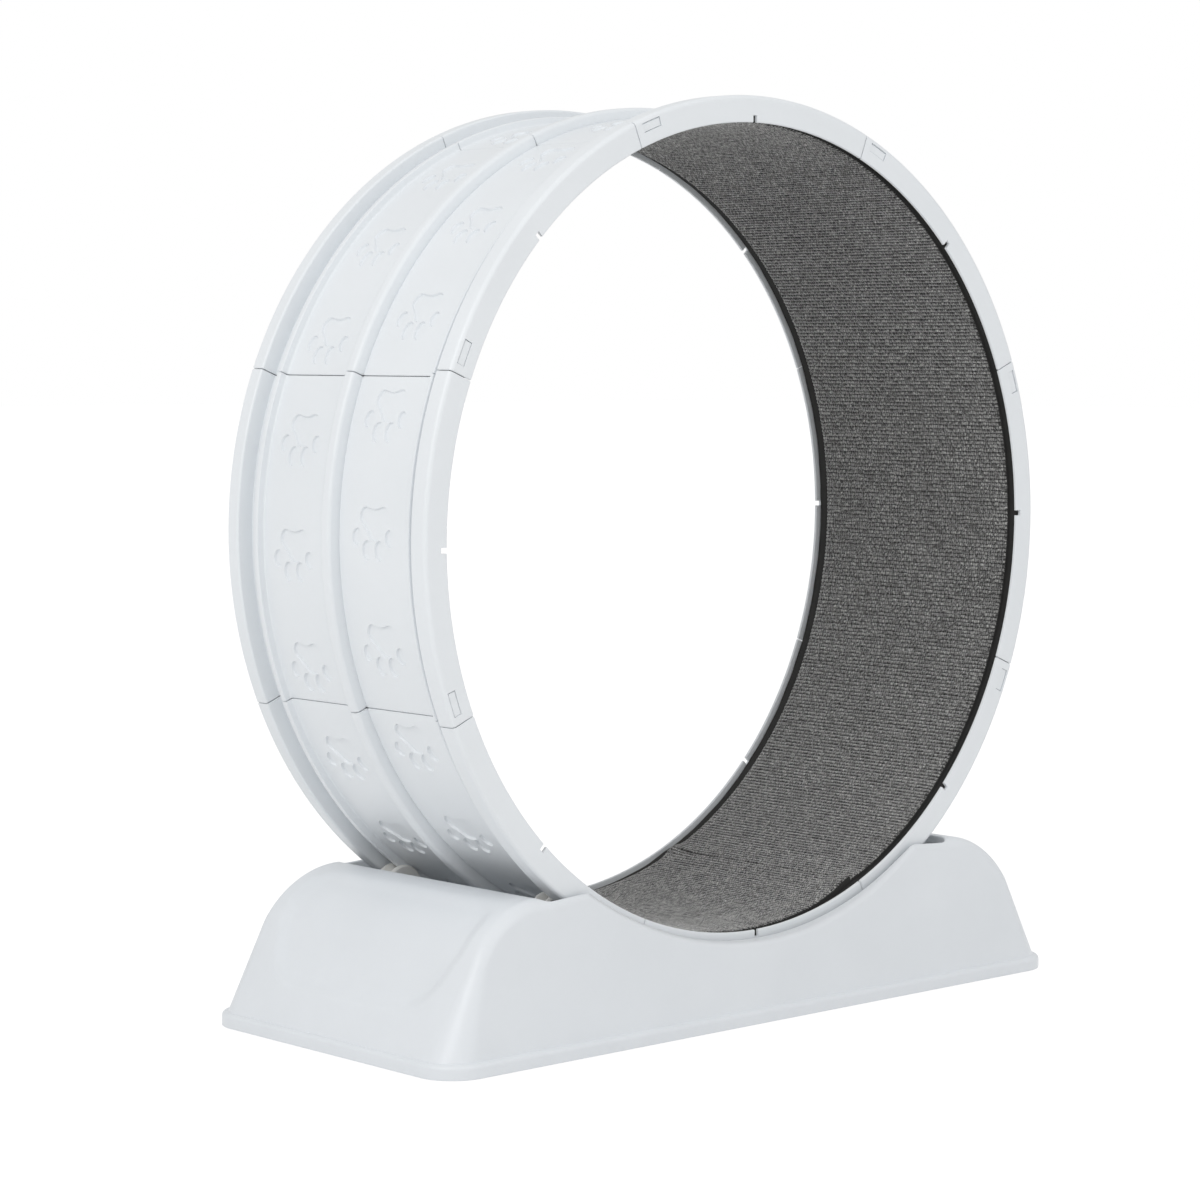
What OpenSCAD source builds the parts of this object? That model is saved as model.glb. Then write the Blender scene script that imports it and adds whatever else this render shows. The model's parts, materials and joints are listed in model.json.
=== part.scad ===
// Cat exercise wheel: a running wheel clipped together from moulded arc segments and lined with
// carpet, which turns on four grooved rollers inside a moulded base.
// Millimetres. X runs along the base, Y along the wheel's axis, Z up from the floor.

/* [Overall] */
// Height from the floor to the top of the wheel
overall_h = 840; // [820:1:870]
// Height from the floor to the lowest point of the wheel
wheel_lift = 55.4; // [50:0.1:62]
// Width of the wheel over its two rim faces
wheel_w = 273; // [268:1:275]
// Length of the base at the floor
base_l = 790; // [770:1:830]
// Width of the base at the floor
base_w = 340; // [330:1:380]

/* [Wheel segments] */
// Number of equal arc segments in the wheel
segment_count = 8; // [6:1:12]
// Gap at each joint between two segments
joint_gap = 0.4; // [0.2:0.1:1]
// Wall thickness of a segment
segment_wall = 3; // [2.4:0.1:3.4]
// Radial depth of a rim face
rim_depth = 26; // [24:0.5:28]
// Width of each hollow rim along the axis
rim_w = 18.5; // [17.5:0.1:19]
// Height of the rims over the bands between them
rim_rise = 14.8; // [13.5:0.1:15.5]
// Rounding of the rim's edges
rim_round = 1.6; // [0.8:0.1:2]
// Width of the groove between a rim and its running ridge
groove_w = 8; // [7.8:0.1:8.6]
// Width of a running ridge at its top
ridge_w = 7.3; // [6.6:0.1:7.4]
// Height of a running ridge over the bands
ridge_rise = 7.5; // [7:0.1:8]
// How much wider the ridge is at its foot
ridge_foot = 2.7; // [1.5:0.1:3]
// Width of the middle rib at its top
rib_w = 9; // [6:0.5:12]
// Width of the middle rib at its foot
rib_foot_w = 24; // [18:0.5:30]
// Height of the middle rib over the bands
rib_rise = 10.5; // [7:0.1:12]
// Width of the notch in the middle of each segment's lips
notch_w = 5; // [3:0.5:8]
// Depth of that notch
notch_depth = 8; // [5:0.5:9]

/* [Snap joints] */
// Length of a snap window round the rim
window_l = 22; // [16:0.5:26]
// Radial height of a snap window
window_h = 8.5; // [7:0.1:9]
// Distance from a window to the joint
window_from_joint = 8; // [6:0.5:12]
// Distance from a window to the outside of the rim
window_from_edge = 4.4; // [4.2:0.1:5]
// Thickness of a snap tongue
tongue_t = 2.5; // [2:0.1:3]
// How far a tongue reaches past its window
tongue_past = 6; // [3:0.5:10]
// Length of the root that a tongue grows from
tongue_root = 16; // [10:1:24]
// Play between a tongue and the rim that it enters
tongue_play = 0.4; // [0.3:0.1:0.6]
// Depth of the catch's face under the rim face
catch_sink = 0.6; // [0.4:0.1:1]

/* [Running surface] */
// Thickness of the foam mat under the carpet
mat_t = 1.8; // [1:0.1:2.2]
// Gap between the mat's edge and each rim face's inside
mat_edge = 1; // [0.6:0.1:2]
// Thickness of the carpet
carpet_t = 5.2; // [4:0.1:5.6]
// Distance from the carpet's edge to each rim face's inside
carpet_edge = 10.5; // [8:0.5:14]
// Open seam where the carpet's two ends meet
carpet_seam = 2; // [1:0.5:5]
// Clearance between the layers
layer_gap = 0.3; // [0.2:0.1:0.5]

/* [Base] */
// Height of the base
base_h = 139.5; // [136:0.5:142]
// Width of the land between the well and the base's outer faces at the top
land_w = 4; // [3:0.5:7]
// Wall thickness of the base
base_wall = 3; // [2.4:0.1:3.4]
// Corner radius of the base in plan, below the shoulders
base_corner_r = 38; // [30:1:48]
// Corner radius of the base in plan at its top
base_top_corner_r = 16; // [12:1:17]
// Height of the skirt round the foot
skirt_h = 14; // [10:0.5:20]
// How far the skirt stands out from the walls
skirt_out = 6; // [4:0.5:8]
// Rounding of the skirt's upper edge
skirt_round = 3; // [1:0.5:4]
// Lean of the end walls from upright, in degrees
end_lean = 28.3; // [26:0.1:30]
// Radius of the shoulders over the ends
shoulder_r = 89; // [80:1:95]
// How far the long walls cover the rim faces, where they are hollowed round the wheel's axis
saddle_cover = 18.3; // [14:0.1:21]
// Distance from the rollers to each end of the well
well_past_rollers = 24.4; // [20:0.1:26]
// Corner radius of the well in plan
well_corner_r = 12; // [10:1:16]
// Side clearance between the wheel and the well
well_side_gap = 4.5; // [3.5:0.1:5]
// Clearance under the wheel
trough_gap = 10; // [8:0.5:12]
// Depth of the dished panel in each end
dish_depth = 4; // [2:0.5:6]
// Distance from the dished panel's upper corners to the base's sides
dish_side = 27; // [25:0.5:40]
// How much further in its lower corners lie
dish_taper = 23; // [15:0.5:30]
// Height of the dished panel's lower edge over the floor
dish_foot_z = 43; // [36:1:50]
// Length of the dished panel up the slope
dish_l = 84; // [70:1:86]
// Corner radius of the dished panel
dish_corner_r = 26; // [15:1:34]
// Thickness of the ribs under the base
rib_t = 2.5; // [2:0.1:3.5]
// Height of the ribs' lower edges over the floor
rib_clear = 10; // [6:1:20]

/* [Rubber feet] */
// Radius of a rubber foot
foot_r = 12; // [9:0.5:15]
// Thickness of a rubber foot
foot_t = 4; // [3:0.5:6]
// How far the feet stand out below the skirt
foot_proud = 1; // [0.6:0.1:2]
// Distance of the feet from the base's ends
foot_inset_x = 62; // [56:1:70]
// Distance of the feet from the base's sides
foot_inset_y = 30; // [28:1:34]

/* [Rollers] */
// Distance of each roller's axle from the middle of the base
roller_x = 221.8; // [218:0.1:225]
// Outer radius of a roller
roller_r = 21.8; // [21:0.1:22]
// Radius of a roller at the bottom of its groove
roller_groove_r = 15.5; // [15:0.1:16]
// Width of a roller
roller_w = 20; // [19:0.1:20.4]
// Side play between a ridge and a roller's groove
groove_play = 0.6; // [0.5:0.1:0.8]
// How much a groove opens on each side towards its rim
groove_flare = 2.4; // [2:0.1:2.6]
// Clearance under a roller
roller_clear = 6; // [5:0.1:7]
// Clearance between a ridge and the bottom of the groove
tread_gap = 0.3; // [0.2:0.05:0.5]
// Radius of an axle
axle_r = 4; // [3:0.5:4.5]
// Running clearance of a bearing on its axle
running_gap = 0.05; // [0.02:0.01:0.1]
// Outer radius of a ball bearing
bearing_r = 11; // [9:0.5:12]
// Width of a ball bearing
bearing_w = 7; // [5:0.5:9]
// Depth of the lip that holds a bearing in its roller
bearing_lip = 1.4; // [1:0.1:2]
// Clearance at the ends of the spacers
spacer_gap = 0.2; // [0.1:0.05:0.4]
// Wall thickness of a spacer
spacer_wall = 2; // [1.5:0.1:2.5]

/* [Brackets] */
// Thickness of a bracket's ears
ear_t = 5; // [4:0.5:6]
// Radius of an ear round its axle
ear_r = 7; // [6:0.1:7.5]
// Gap between a roller and each ear
ear_gap = 0.8; // [0.5:0.1:1]
// Length of a bracket along the base
bracket_l = 38; // [32:1:44]
// Thickness of a bracket's foot plate
bracket_t = 4; // [3:0.5:5]
// How far the foot plate reaches past the ears
bracket_toe = 12; // [11:0.5:13]
// Thickness of an axle's head
axle_head_t = 1.6; // [1.2:0.1:2]
// Radius of an axle's head
axle_head_r = 6.2; // [5.6:0.1:6.6]
// Thickness of a retaining clip
clip_t = 1.2; // [1:0.1:1.5]
// Depth of the groove for a clip
clip_groove = 0.8; // [0.5:0.1:1]
// Shank radius of a bracket screw
screw_r = 2; // [1.5:0.1:2.5]
// Length of a bracket screw
screw_l = 14; // [12:1:18]
// Head radius of a bracket screw
screw_head_r = 4; // [3.5:0.1:4.4]
// Head height of a bracket screw
screw_head_h = 2.6; // [2:0.1:3]

/* [Hidden] */
$fn = 96;
hull_fn = 32;
segment_names = [for (i = [1:12]) str("wheel_segment_", i)];
places = ["front_left", "front_right", "rear_left", "rear_right"];

white = [0.86, 0.88, 0.9];
overrun = 5;
rest_turn = 0.74; // how far the wheel stands turned, in degrees
screw_play = 0.1;

// Radii of the wheel
wheel_r = (overall_h - wheel_lift) / 2;
wheel_z = overall_h - wheel_r;
half_w = wheel_w / 2;
lip_r = wheel_r - rim_depth;
band_r = wheel_r - rim_rise;
floor_r = band_r - segment_wall;
rib_r = band_r + rib_rise;
ridge_r = band_r + ridge_rise;
rim_in = half_w - rim_w;
face_in = half_w - segment_wall;
ridge_out = rim_in - groove_w;
ridge_in = ridge_out - ridge_w;
ridge_mid = (ridge_out + ridge_in) / 2;
segment_turn = 360 / segment_count;
mat_r = floor_r - layer_gap;
carpet_r = mat_r - mat_t - layer_gap;
carpet_w = 2 * (face_in - carpet_edge);
small = rim_round / 2;

// Where the rollers stand
axle_ring_r = ridge_r + tread_gap + roller_groove_r;
roller_z = wheel_z - sqrt(pow(axle_ring_r, 2) - pow(roller_x, 2));
spacer_len = (roller_w - bearing_w) / 2 + ear_gap - 2 * spacer_gap;
ear_near = roller_w / 2 + ear_gap;
ear_far = ear_near + ear_t;
toe_far = ear_far + bracket_toe;
screw_y = ear_far + bracket_toe / 2;
shelf_h = roller_z - roller_r - roller_clear - bracket_t;
clip_y = ear_far + spacer_gap;
axle_tip = clip_y + clip_t + 2 * clip_groove;

// The base's outline
wall_l = base_l - 2 * skirt_out;
wall_w = base_w - 2 * skirt_out;
well_w = wheel_w + 2 * well_side_gap;
well_l = 2 * (roller_x + roller_r + well_past_rollers);
base_top_w = well_w + 2 * land_w;
side_lean = atan((wall_w - base_top_w) / 2 / (base_h - skirt_h));
saddle_r = wheel_r - saddle_cover;
dish_top_w = base_top_w - 2 * dish_side;
dish_foot_w = dish_top_w - 2 * dish_taper;
trough_r = wheel_r + trough_gap;
foot_x = base_l / 2 - foot_inset_x;
foot_y = base_w / 2 - foot_inset_y;

function degrees_at(len, r) = len / r * 180 / PI;

// Half length of the end profile, "inset" inside the outer face, at height z on its straight part
function slope_x(z, inset) = wall_l / 2 - inset / cos(end_lean) - (z - skirt_h) * tan(end_lean);
function shoulder_z(inset) = base_h - shoulder_r;
function shoulder_x(inset) =
    slope_x(base_h - inset, inset) - (shoulder_r - inset) * tan((90 - end_lean) / 2);
function side_y(z, inset) = wall_w / 2 - inset / cos(side_lean) - (z - skirt_h) * tan(side_lean);

// Levels of the base's body, as half length, half width, height and corner radius, foot first
shoulder_steps = 8;
function body_level(half_l, z, inset, corner) = [half_l, side_y(z, inset), z, corner - inset];
function body_levels(inset, z0) = concat(
    [body_level(slope_x(z0, inset), z0, inset, base_corner_r)],
    [for (i = [0:shoulder_steps])
        let (
            a = end_lean + (90 - end_lean) * i / shoulder_steps,
            r = shoulder_r - inset,
            corner = base_top_corner_r + (base_corner_r - base_top_corner_r) * cos(a) / cos(end_lean)
        )
        body_level(shoulder_x(inset) + r * cos(a), shoulder_z(inset) + r * sin(a), inset, corner)]);
function skirt_levels() = [
    [base_l / 2, base_w / 2, foot_proud, base_corner_r],
    [base_l / 2, base_w / 2, skirt_h - skirt_round, base_corner_r],
    [base_l / 2 - skirt_round, base_w / 2 - skirt_round, skirt_h, base_corner_r - skirt_round]
];

// The points of one level, a rectangle with round corners
corner_steps = 8;
function level_points(level) = [
    for (c = [0:3], j = [0:corner_steps])
        let (
            a = 90 * c + 90 * j / corner_steps,
            sx = c == 0 || c == 3 ? 1 : -1,
            sy = c < 2 ? 1 : -1,
            r = level[3]
        )
        [sx * (level[0] - r) + r * cos(a), sy * (level[1] - r) + r * sin(a), level[2]]];

// A closed block whose outline passes through the levels, the lowest first
module stacked(levels) {
    n = 4 * (corner_steps + 1);
    last = n * (len(levels) - 1);
    polyhedron(
        points = [for (level = levels) each level_points(level)],
        faces = concat(
            [[for (i = [0:n - 1]) i]],
            [[for (i = [n - 1:-1:0]) last + i]],
            [for (k = [0:len(levels) - 2], i = [0:n - 1])
                each [
                    [k * n + i, (k + 1) * n + i, (k + 1) * n + (i + 1) % n],
                    [k * n + i, (k + 1) * n + (i + 1) % n, k * n + (i + 1) % n]
                ]]));
}

// The space that the wheel and its rollers stand in, grown on all sides by "grow"
module well(grow) {
    translate([0, 0, shelf_h - grow])
        linear_extrude(height = base_h) {
            square([well_l + 2 * grow, well_w - 2 * well_corner_r], center = true);
            square([well_l - 2 * well_corner_r, well_w + 2 * grow], center = true);
            for (sx = [-1, 1], sy = [-1, 1])
                translate([sx * (well_l / 2 - well_corner_r), sy * (well_w / 2 - well_corner_r)])
                    circle(r = well_corner_r + grow);
        }
    translate([0, 0, wheel_z])
        rotate([90, 0, 0])
            cylinder(r = trough_r + grow, h = well_w + 2 * grow, center = true, $fn = 180);
}

// The hollow across both long walls that leaves the wheel's side open
module saddle(grow) {
    translate([0, 0, wheel_z])
        rotate([90, 0, 0])
            cylinder(r = saddle_r + grow, h = base_w + overrun, center = true, $fn = 180);
}

// One dished panel, "grow" larger, cut square to the end wall that "side" names
module dish(side, grow) {
    mirror([side < 0 ? 1 : 0, 0, 0])
        translate([slope_x(dish_foot_z, 0), 0, dish_foot_z])
            rotate([0, -end_lean, 0])
                hull() {
                    for (s = [-1, 1]) {
                        translate([-dish_depth - grow, s * (dish_foot_w / 2 - dish_corner_r), dish_corner_r])
                            rotate([0, 90, 0])
                                cylinder(r = dish_corner_r + grow, h = dish_depth + grow + overrun,
                                    $fn = hull_fn);
                        translate([-dish_depth - grow, s * (dish_top_w / 2 - dish_corner_r),
                            dish_l - dish_corner_r])
                            rotate([0, 90, 0])
                                cylinder(r = dish_corner_r + grow, h = dish_depth + grow + overrun,
                                    $fn = hull_fn);
                    }
                }
}

module base_ribs() {
    for (x = [-roller_x, 0, roller_x])
        translate([x - rib_t / 2, -base_w / 2, rib_clear])
            cube([rib_t, base_w, base_h]);
    for (s = [-1, 1])
        translate([-base_l / 2, s * ridge_mid - rib_t / 2, rib_clear])
            cube([base_l, rib_t, base_h]);
}

module at_feet() {
    for (x = [-foot_x, 0, foot_x], s = [-1, 1])
        translate([x, s * foot_y, 0])
            children();
}

// A pad for each foot, on two crossed ribs that reach up to the shell
module foot_posts() {
    pad_r = foot_r + base_wall;
    at_feet() {
        translate([0, 0, foot_proud])
            cylinder(r = pad_r, h = foot_t + base_wall - foot_proud);
        for (a = [0, 90])
            rotate([0, 0, a])
                translate([-pad_r + rib_t / 4, -rib_t / 2, foot_t + base_wall / 2])
                    cube([2 * pad_r - rib_t / 2, rib_t, base_h]);
    }
}

// Runs its children in the frame of each roller, with the axle along Y and its middle at zero
module at_roller(place) {
    side = place < 2 ? -1 : 1;
    end = place % 2 == 0 ? -1 : 1;
    translate([end * roller_x, side * ridge_mid, 0])
        mirror([0, side < 0 ? 1 : 0, 0])
            children();
}

module at_screws() {
    for (place = [0:3])
        at_roller(place)
            for (s = [-1, 1])
                translate([0, s * screw_y, 0])
                    children();
}

module base_shell() {
    color(white)
        difference() {
            stacked(concat(skirt_levels(), body_levels(0, skirt_h)));
            difference() {
                stacked(body_levels(base_wall, -overrun));
                well(base_wall);
                saddle(base_wall);
                for (s = [-1, 1])
                    dish(s, base_wall);
                base_ribs();
                foot_posts();
                at_screws()
                    translate([0, 0, shelf_h - screw_l])
                        cylinder(r = screw_r + base_wall, h = screw_l);
            }
            well(0);
            saddle(0);
            for (s = [-1, 1])
                dish(s, 0);
            at_feet()
                translate([0, 0, -overrun])
                    cylinder(r = foot_r + screw_play, h = overrun + foot_t);
            at_screws()
                translate([0, 0, shelf_h - screw_l - overrun])
                    cylinder(r = screw_r + screw_play, h = screw_l + 2 * overrun);
        }
}

module rubber_feet() {
    color([0.1, 0.1, 0.1])
        at_feet()
            cylinder(r = foot_r, h = foot_t);
}

// An ear is a rounded plate round the axle that widens down to the foot plate
module bracket_ear() {
    rotate([90, 0, 0])
        linear_extrude(height = ear_t, center = true) {
            translate([0, roller_z])
                circle(r = ear_r);
            polygon([
                [-ear_r, roller_z],
                [-bracket_l / 2, shelf_h + bracket_t],
                [-bracket_l / 2, shelf_h],
                [bracket_l / 2, shelf_h],
                [bracket_l / 2, shelf_h + bracket_t],
                [ear_r, roller_z]
            ]);
        }
}

module roller_bracket() {
    difference() {
        union() {
            translate([-bracket_l / 2, -toe_far, shelf_h])
                cube([bracket_l, 2 * toe_far, bracket_t]);
            for (s = [-1, 1])
                translate([0, s * (ear_near + ear_t / 2), 0])
                    bracket_ear();
        }
        translate([0, 0, roller_z])
            rotate([90, 0, 0])
                cylinder(r = axle_r + screw_play, h = 2 * toe_far, center = true);
        for (s = [-1, 1])
            translate([0, s * screw_y, shelf_h - overrun])
                cylinder(r = screw_r + screw_play, h = bracket_t + 2 * overrun);
    }
}

module roller_brackets() {
    color([0.75, 0.76, 0.78])
        for (place = [0:3])
            at_roller(place)
                roller_bracket();
}

module roller_axles() {
    color([0.7, 0.7, 0.72])
        for (place = [0:3])
            at_roller(place)
                translate([0, 0, roller_z])
                    rotate([-90, 0, 0])
                        difference() {
                            union() {
                                translate([0, 0, -ear_far])
                                    cylinder(r = axle_r, h = ear_far + axle_tip);
                                translate([0, 0, -ear_far - axle_head_t])
                                    cylinder(r = axle_head_r, h = axle_head_t);
                            }
                            translate([0, 0, clip_y])
                                difference() {
                                    cylinder(r = axle_r + overrun, h = clip_t + clip_groove / 2);
                                    cylinder(r = axle_r - clip_groove, h = clip_t + clip_groove / 2);
                                }
                        }
}

module axle_clips() {
    color([0.3, 0.3, 0.32])
        for (place = [0:3])
            at_roller(place)
                translate([0, clip_y + clip_groove / 4, roller_z])
                    rotate([-90, 0, 0])
                        difference() {
                            cylinder(r = axle_head_r, h = clip_t);
                            translate([0, 0, -overrun])
                                cylinder(r = axle_r - clip_groove + running_gap, h = clip_t + 2 * overrun);
                            translate([0, -axle_r / 2, -overrun])
                                cube([axle_head_r + overrun, axle_r, clip_t + 2 * overrun]);
                        }
}

module bracket_screws() {
    color([0.6, 0.6, 0.62])
        at_screws() {
            translate([0, 0, shelf_h + bracket_t - screw_l])
                cylinder(r = screw_r, h = screw_l);
            difference() {
                translate([0, 0, shelf_h + bracket_t])
                    cylinder(r = screw_head_r, h = screw_head_h);
                for (a = [0, 90])
                    translate([0, 0, shelf_h + bracket_t + screw_head_h])
                        rotate([0, 0, a])
                            cube([1.4 * screw_head_r, screw_r / 2, screw_head_h], center = true);
            }
        }
}

// Two sleeves on each axle keep its bearing in the middle
module bearing_spacers() {
    color([0.2, 0.2, 0.22])
        for (place = [0:3], s = [-1, 1])
            at_roller(place)
                translate([0, s * (bearing_w / 2 + spacer_gap + spacer_len / 2), roller_z])
                    rotate([90, 0, 0])
                        difference() {
                            cylinder(r = axle_r + spacer_wall, h = spacer_len, center = true);
                            cylinder(r = axle_r + running_gap, h = spacer_len + overrun, center = true);
                        }
}

// A pulley with a flared groove, which holds its bearing between a lip and a shoulder
module roller(place) {
    groove_half = ridge_w / 2 + groove_play;
    color([0.9, 0.89, 0.86])
        at_roller(place)
            translate([0, 0, roller_z])
                rotate([-90, 0, 0])
                    rotate_extrude()
                        polygon([
                            [bearing_r, -bearing_w / 2],
                            [bearing_r - bearing_lip, -bearing_w / 2],
                            [bearing_r - bearing_lip, -bearing_w / 2 - bearing_lip],
                            [bearing_r, -bearing_w / 2 - bearing_lip],
                            [bearing_r, -roller_w / 2],
                            [roller_r - rim_round, -roller_w / 2],
                            [roller_r, -roller_w / 2 + rim_round],
                            [roller_r, -groove_half - groove_flare],
                            [roller_groove_r, -groove_half],
                            [roller_groove_r, groove_half],
                            [roller_r, groove_half + groove_flare],
                            [roller_r, roller_w / 2 - rim_round],
                            [roller_r - rim_round, roller_w / 2],
                            [bearing_r, roller_w / 2]
                        ]);
}

// A ball bearing with its races and shields as one ring
module bearing(place) {
    color([0.55, 0.56, 0.58])
        at_roller(place)
            translate([0, 0, roller_z])
                rotate([90, 0, 0])
                    difference() {
                        cylinder(r = bearing_r, h = bearing_w, center = true);
                        cylinder(r = axle_r + running_gap, h = bearing_w + overrun, center = true);
                        for (s = [-1, 1])
                            translate([0, 0, s * bearing_w / 2])
                                difference() {
                                    cylinder(r = bearing_r - bearing_lip, h = bearing_lip / 2, center = true);
                                    cylinder(r = axle_r + bearing_lip, h = bearing_lip, center = true);
                                }
                    }
}

// One side of a segment's section, as radius and distance from the middle: out to the rim, then back
function half_section() = [
    [rib_r, 0],
    [rib_r - small / 4, rib_w / 4],
    [rib_r - small, rib_w / 2],
    [rib_r - rib_rise / 2, (rib_w + rib_foot_w) / 4 - small],
    [band_r + small, rib_foot_w / 2 - 2 * rim_round],
    [band_r, rib_foot_w / 2],
    [band_r, ridge_in - ridge_foot - small],
    [band_r + small, ridge_in - ridge_foot],
    [ridge_r - small, ridge_in - small / 2],
    [ridge_r, ridge_in + small],
    [ridge_r, ridge_out - small],
    [ridge_r - small, ridge_out],
    [band_r, ridge_out],
    [band_r, rim_in],
    [wheel_r - rim_round, rim_in],
    [wheel_r - small / 2, rim_in + small],
    [wheel_r, rim_in + rim_round],
    [wheel_r, half_w - small],
    [wheel_r - small, half_w],
    [lip_r + small, half_w],
    [lip_r, half_w - small],
    [lip_r, face_in],
    [wheel_r - segment_wall, face_in],
    [wheel_r - segment_wall, rim_in + segment_wall],
    [floor_r, rim_in + segment_wall]
];

function flipped(pts) = [for (i = [len(pts) - 1:-1:1]) [pts[i][0], -pts[i][1]]];

// Turns about the wheel's axis, counted from +X towards +Z
module on_wheel(turn) {
    translate([0, 0, wheel_z])
        rotate([90, 0, 0])
            rotate([0, 0, turn])
                children();
}

// A bar bent round the wheel's axis: radii, distances along the axis, and start and end angles
module bent_bar(r0, r1, y0, y1, a0, a1) {
    rotate([0, 0, a0])
        rotate_extrude(angle = a1 - a0, $fn = 180)
            translate([r0, y0])
                square([r1 - r0, y1 - y0]);
}

// Angles from a joint to its window's near and far ends
window_r = wheel_r - window_from_edge - window_h / 2;
window_near = degrees_at(window_from_joint, window_r);
window_far = degrees_at(window_from_joint + window_l, window_r);
tongue_end = degrees_at(window_from_joint + window_l + tongue_past, window_r);
root_end = degrees_at(tongue_root, window_r);
play_turn = degrees_at(tongue_play, window_r);

// A tongue grows from inside its own rim and carries the catch that fills the next rim's window
module snap_tongue() {
    r0 = wheel_r - window_from_edge - window_h - segment_wall / 3;
    r1 = wheel_r - segment_wall - tongue_play;
    y1 = face_in - tongue_play;
    bent_bar(r0, r1, y1 - tongue_t, y1, -tongue_end, root_end);
    bent_bar(r0 + small, r1 - small, y1 - tongue_t / 2, face_in + segment_wall / 3,
        2 * play_turn, root_end - play_turn);
    bent_bar(wheel_r - window_from_edge - window_h + tongue_play, wheel_r - window_from_edge - tongue_play,
        y1 - tongue_t / 2, half_w - catch_sink, play_turn - window_far, -window_near - play_turn);
}

module wheel_segment(i) {
    gap_turn = degrees_at(joint_gap, wheel_r);
    start = (i - 0.5) * segment_turn + rest_turn;
    color(white)
        on_wheel(start)
            difference() {
                union() {
                    rotate([0, 0, gap_turn / 2])
                        rotate_extrude(angle = segment_turn - gap_turn, $fn = 180)
                            polygon(concat(half_section(), flipped(half_section())));
                    snap_tongue();
                    mirror([0, 0, 1])
                        snap_tongue();
                }
                for (s = [0, 1])
                    mirror([0, 0, s]) {
                        bent_bar(wheel_r - window_from_edge - window_h, wheel_r - window_from_edge,
                            face_in - tongue_t / 4, half_w + overrun, segment_turn - window_far,
                            segment_turn - window_near);
                        rotate([0, 0, segment_turn / 2])
                            translate([lip_r - overrun, -notch_w / 2, face_in - tongue_t / 4])
                                cube([notch_depth + overrun, notch_w, segment_wall + overrun]);
                    }
            }
}

// A lining ring with a straight seam at the joint below and in front of the wheel's middle
module lining(outer_r, thick, wide, seam) {
    turn = degrees_at(seam, outer_r);
    on_wheel(rest_turn - 1.5 * segment_turn + turn / 2)
        rotate_extrude(angle = 360 - turn, $fn = 180)
            translate([outer_r - thick, -wide / 2])
                square([thick, wide]);
}

module foam_mat() {
    color([0.08, 0.08, 0.08])
        lining(mat_r, mat_t, 2 * (face_in - mat_edge), layer_gap);
}

module carpet_runner() {
    color([0.42, 0.42, 0.42])
        lining(carpet_r, carpet_t, carpet_w, carpet_seam);
}

base_shell();
rubber_feet();
roller_brackets();
roller_axles();
axle_clips();
bracket_screws();
bearing_spacers();
roller(0);  // roller_front_left
roller(1);  // roller_front_right
roller(2);  // roller_rear_left
roller(3);  // roller_rear_right
bearing(0);  // bearing_front_left
bearing(1);  // bearing_front_right
bearing(2);  // bearing_rear_left
bearing(3);  // bearing_rear_right
for (i = [0:segment_count - 1])
    wheel_segment(i);
foam_mat();
carpet_runner();
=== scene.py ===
import json
import math
import random

import bmesh
import bpy
import numpy as np
from mathutils import Matrix, Vector
from mathutils.geometry import delaunay_2d_cdt


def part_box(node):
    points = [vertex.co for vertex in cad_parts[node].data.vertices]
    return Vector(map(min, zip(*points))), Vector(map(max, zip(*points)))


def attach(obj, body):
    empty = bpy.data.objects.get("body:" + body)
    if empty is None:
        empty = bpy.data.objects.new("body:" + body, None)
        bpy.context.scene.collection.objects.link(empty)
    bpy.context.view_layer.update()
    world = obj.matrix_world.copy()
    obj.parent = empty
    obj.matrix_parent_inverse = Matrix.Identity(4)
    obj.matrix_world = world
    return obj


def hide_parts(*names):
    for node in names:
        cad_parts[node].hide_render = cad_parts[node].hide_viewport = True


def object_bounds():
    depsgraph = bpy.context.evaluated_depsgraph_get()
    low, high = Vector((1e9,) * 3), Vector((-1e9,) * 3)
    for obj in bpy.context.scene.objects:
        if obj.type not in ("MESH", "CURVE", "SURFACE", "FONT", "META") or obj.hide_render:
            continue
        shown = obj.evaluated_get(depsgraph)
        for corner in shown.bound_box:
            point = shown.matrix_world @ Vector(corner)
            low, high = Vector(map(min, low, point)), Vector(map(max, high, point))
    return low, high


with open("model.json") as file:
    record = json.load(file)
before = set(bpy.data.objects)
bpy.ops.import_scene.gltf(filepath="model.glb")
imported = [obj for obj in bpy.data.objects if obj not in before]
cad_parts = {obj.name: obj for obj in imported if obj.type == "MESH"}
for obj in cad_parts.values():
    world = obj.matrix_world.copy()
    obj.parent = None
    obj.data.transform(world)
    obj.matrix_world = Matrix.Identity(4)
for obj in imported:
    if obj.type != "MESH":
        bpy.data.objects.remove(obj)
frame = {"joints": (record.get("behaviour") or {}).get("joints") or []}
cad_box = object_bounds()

# A cat exercise wheel. Lengths are in millimetres until a mesh is made, and angles in degrees.
# X runs along the base, Y along the wheel's axle toward the rear, and Z up.
# Angles round the wheel count from +X to +Z.

random.seed(7)
METRES = 0.001
weld_distance = 0.004


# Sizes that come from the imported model

def from_frame(metres):
    """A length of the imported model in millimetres, to a hundredth."""
    return round(metres / METRES, 2)


def joint_place(name):
    """A point on a joint's axis."""
    joint = next(j for j in frame["joints"] if j["name"] == name)
    return [from_frame(v) for v in joint["pos_m"]]


shell_low, shell_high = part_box("base_shell")
base_half_l, base_half_w, base_h = (from_frame(v) for v in shell_high)
foot_proud = from_frame(shell_low[2])
wheel_z = joint_place("wheel_spin")[2]
wheel_r = from_frame(cad_box[1][2]) - wheel_z
wheel_half_w = from_frame(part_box("wheel_segment_1")[1][1])
roller_x, roller_y, _ = joint_place("roller_spin_rear_right")


# Small tools

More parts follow.
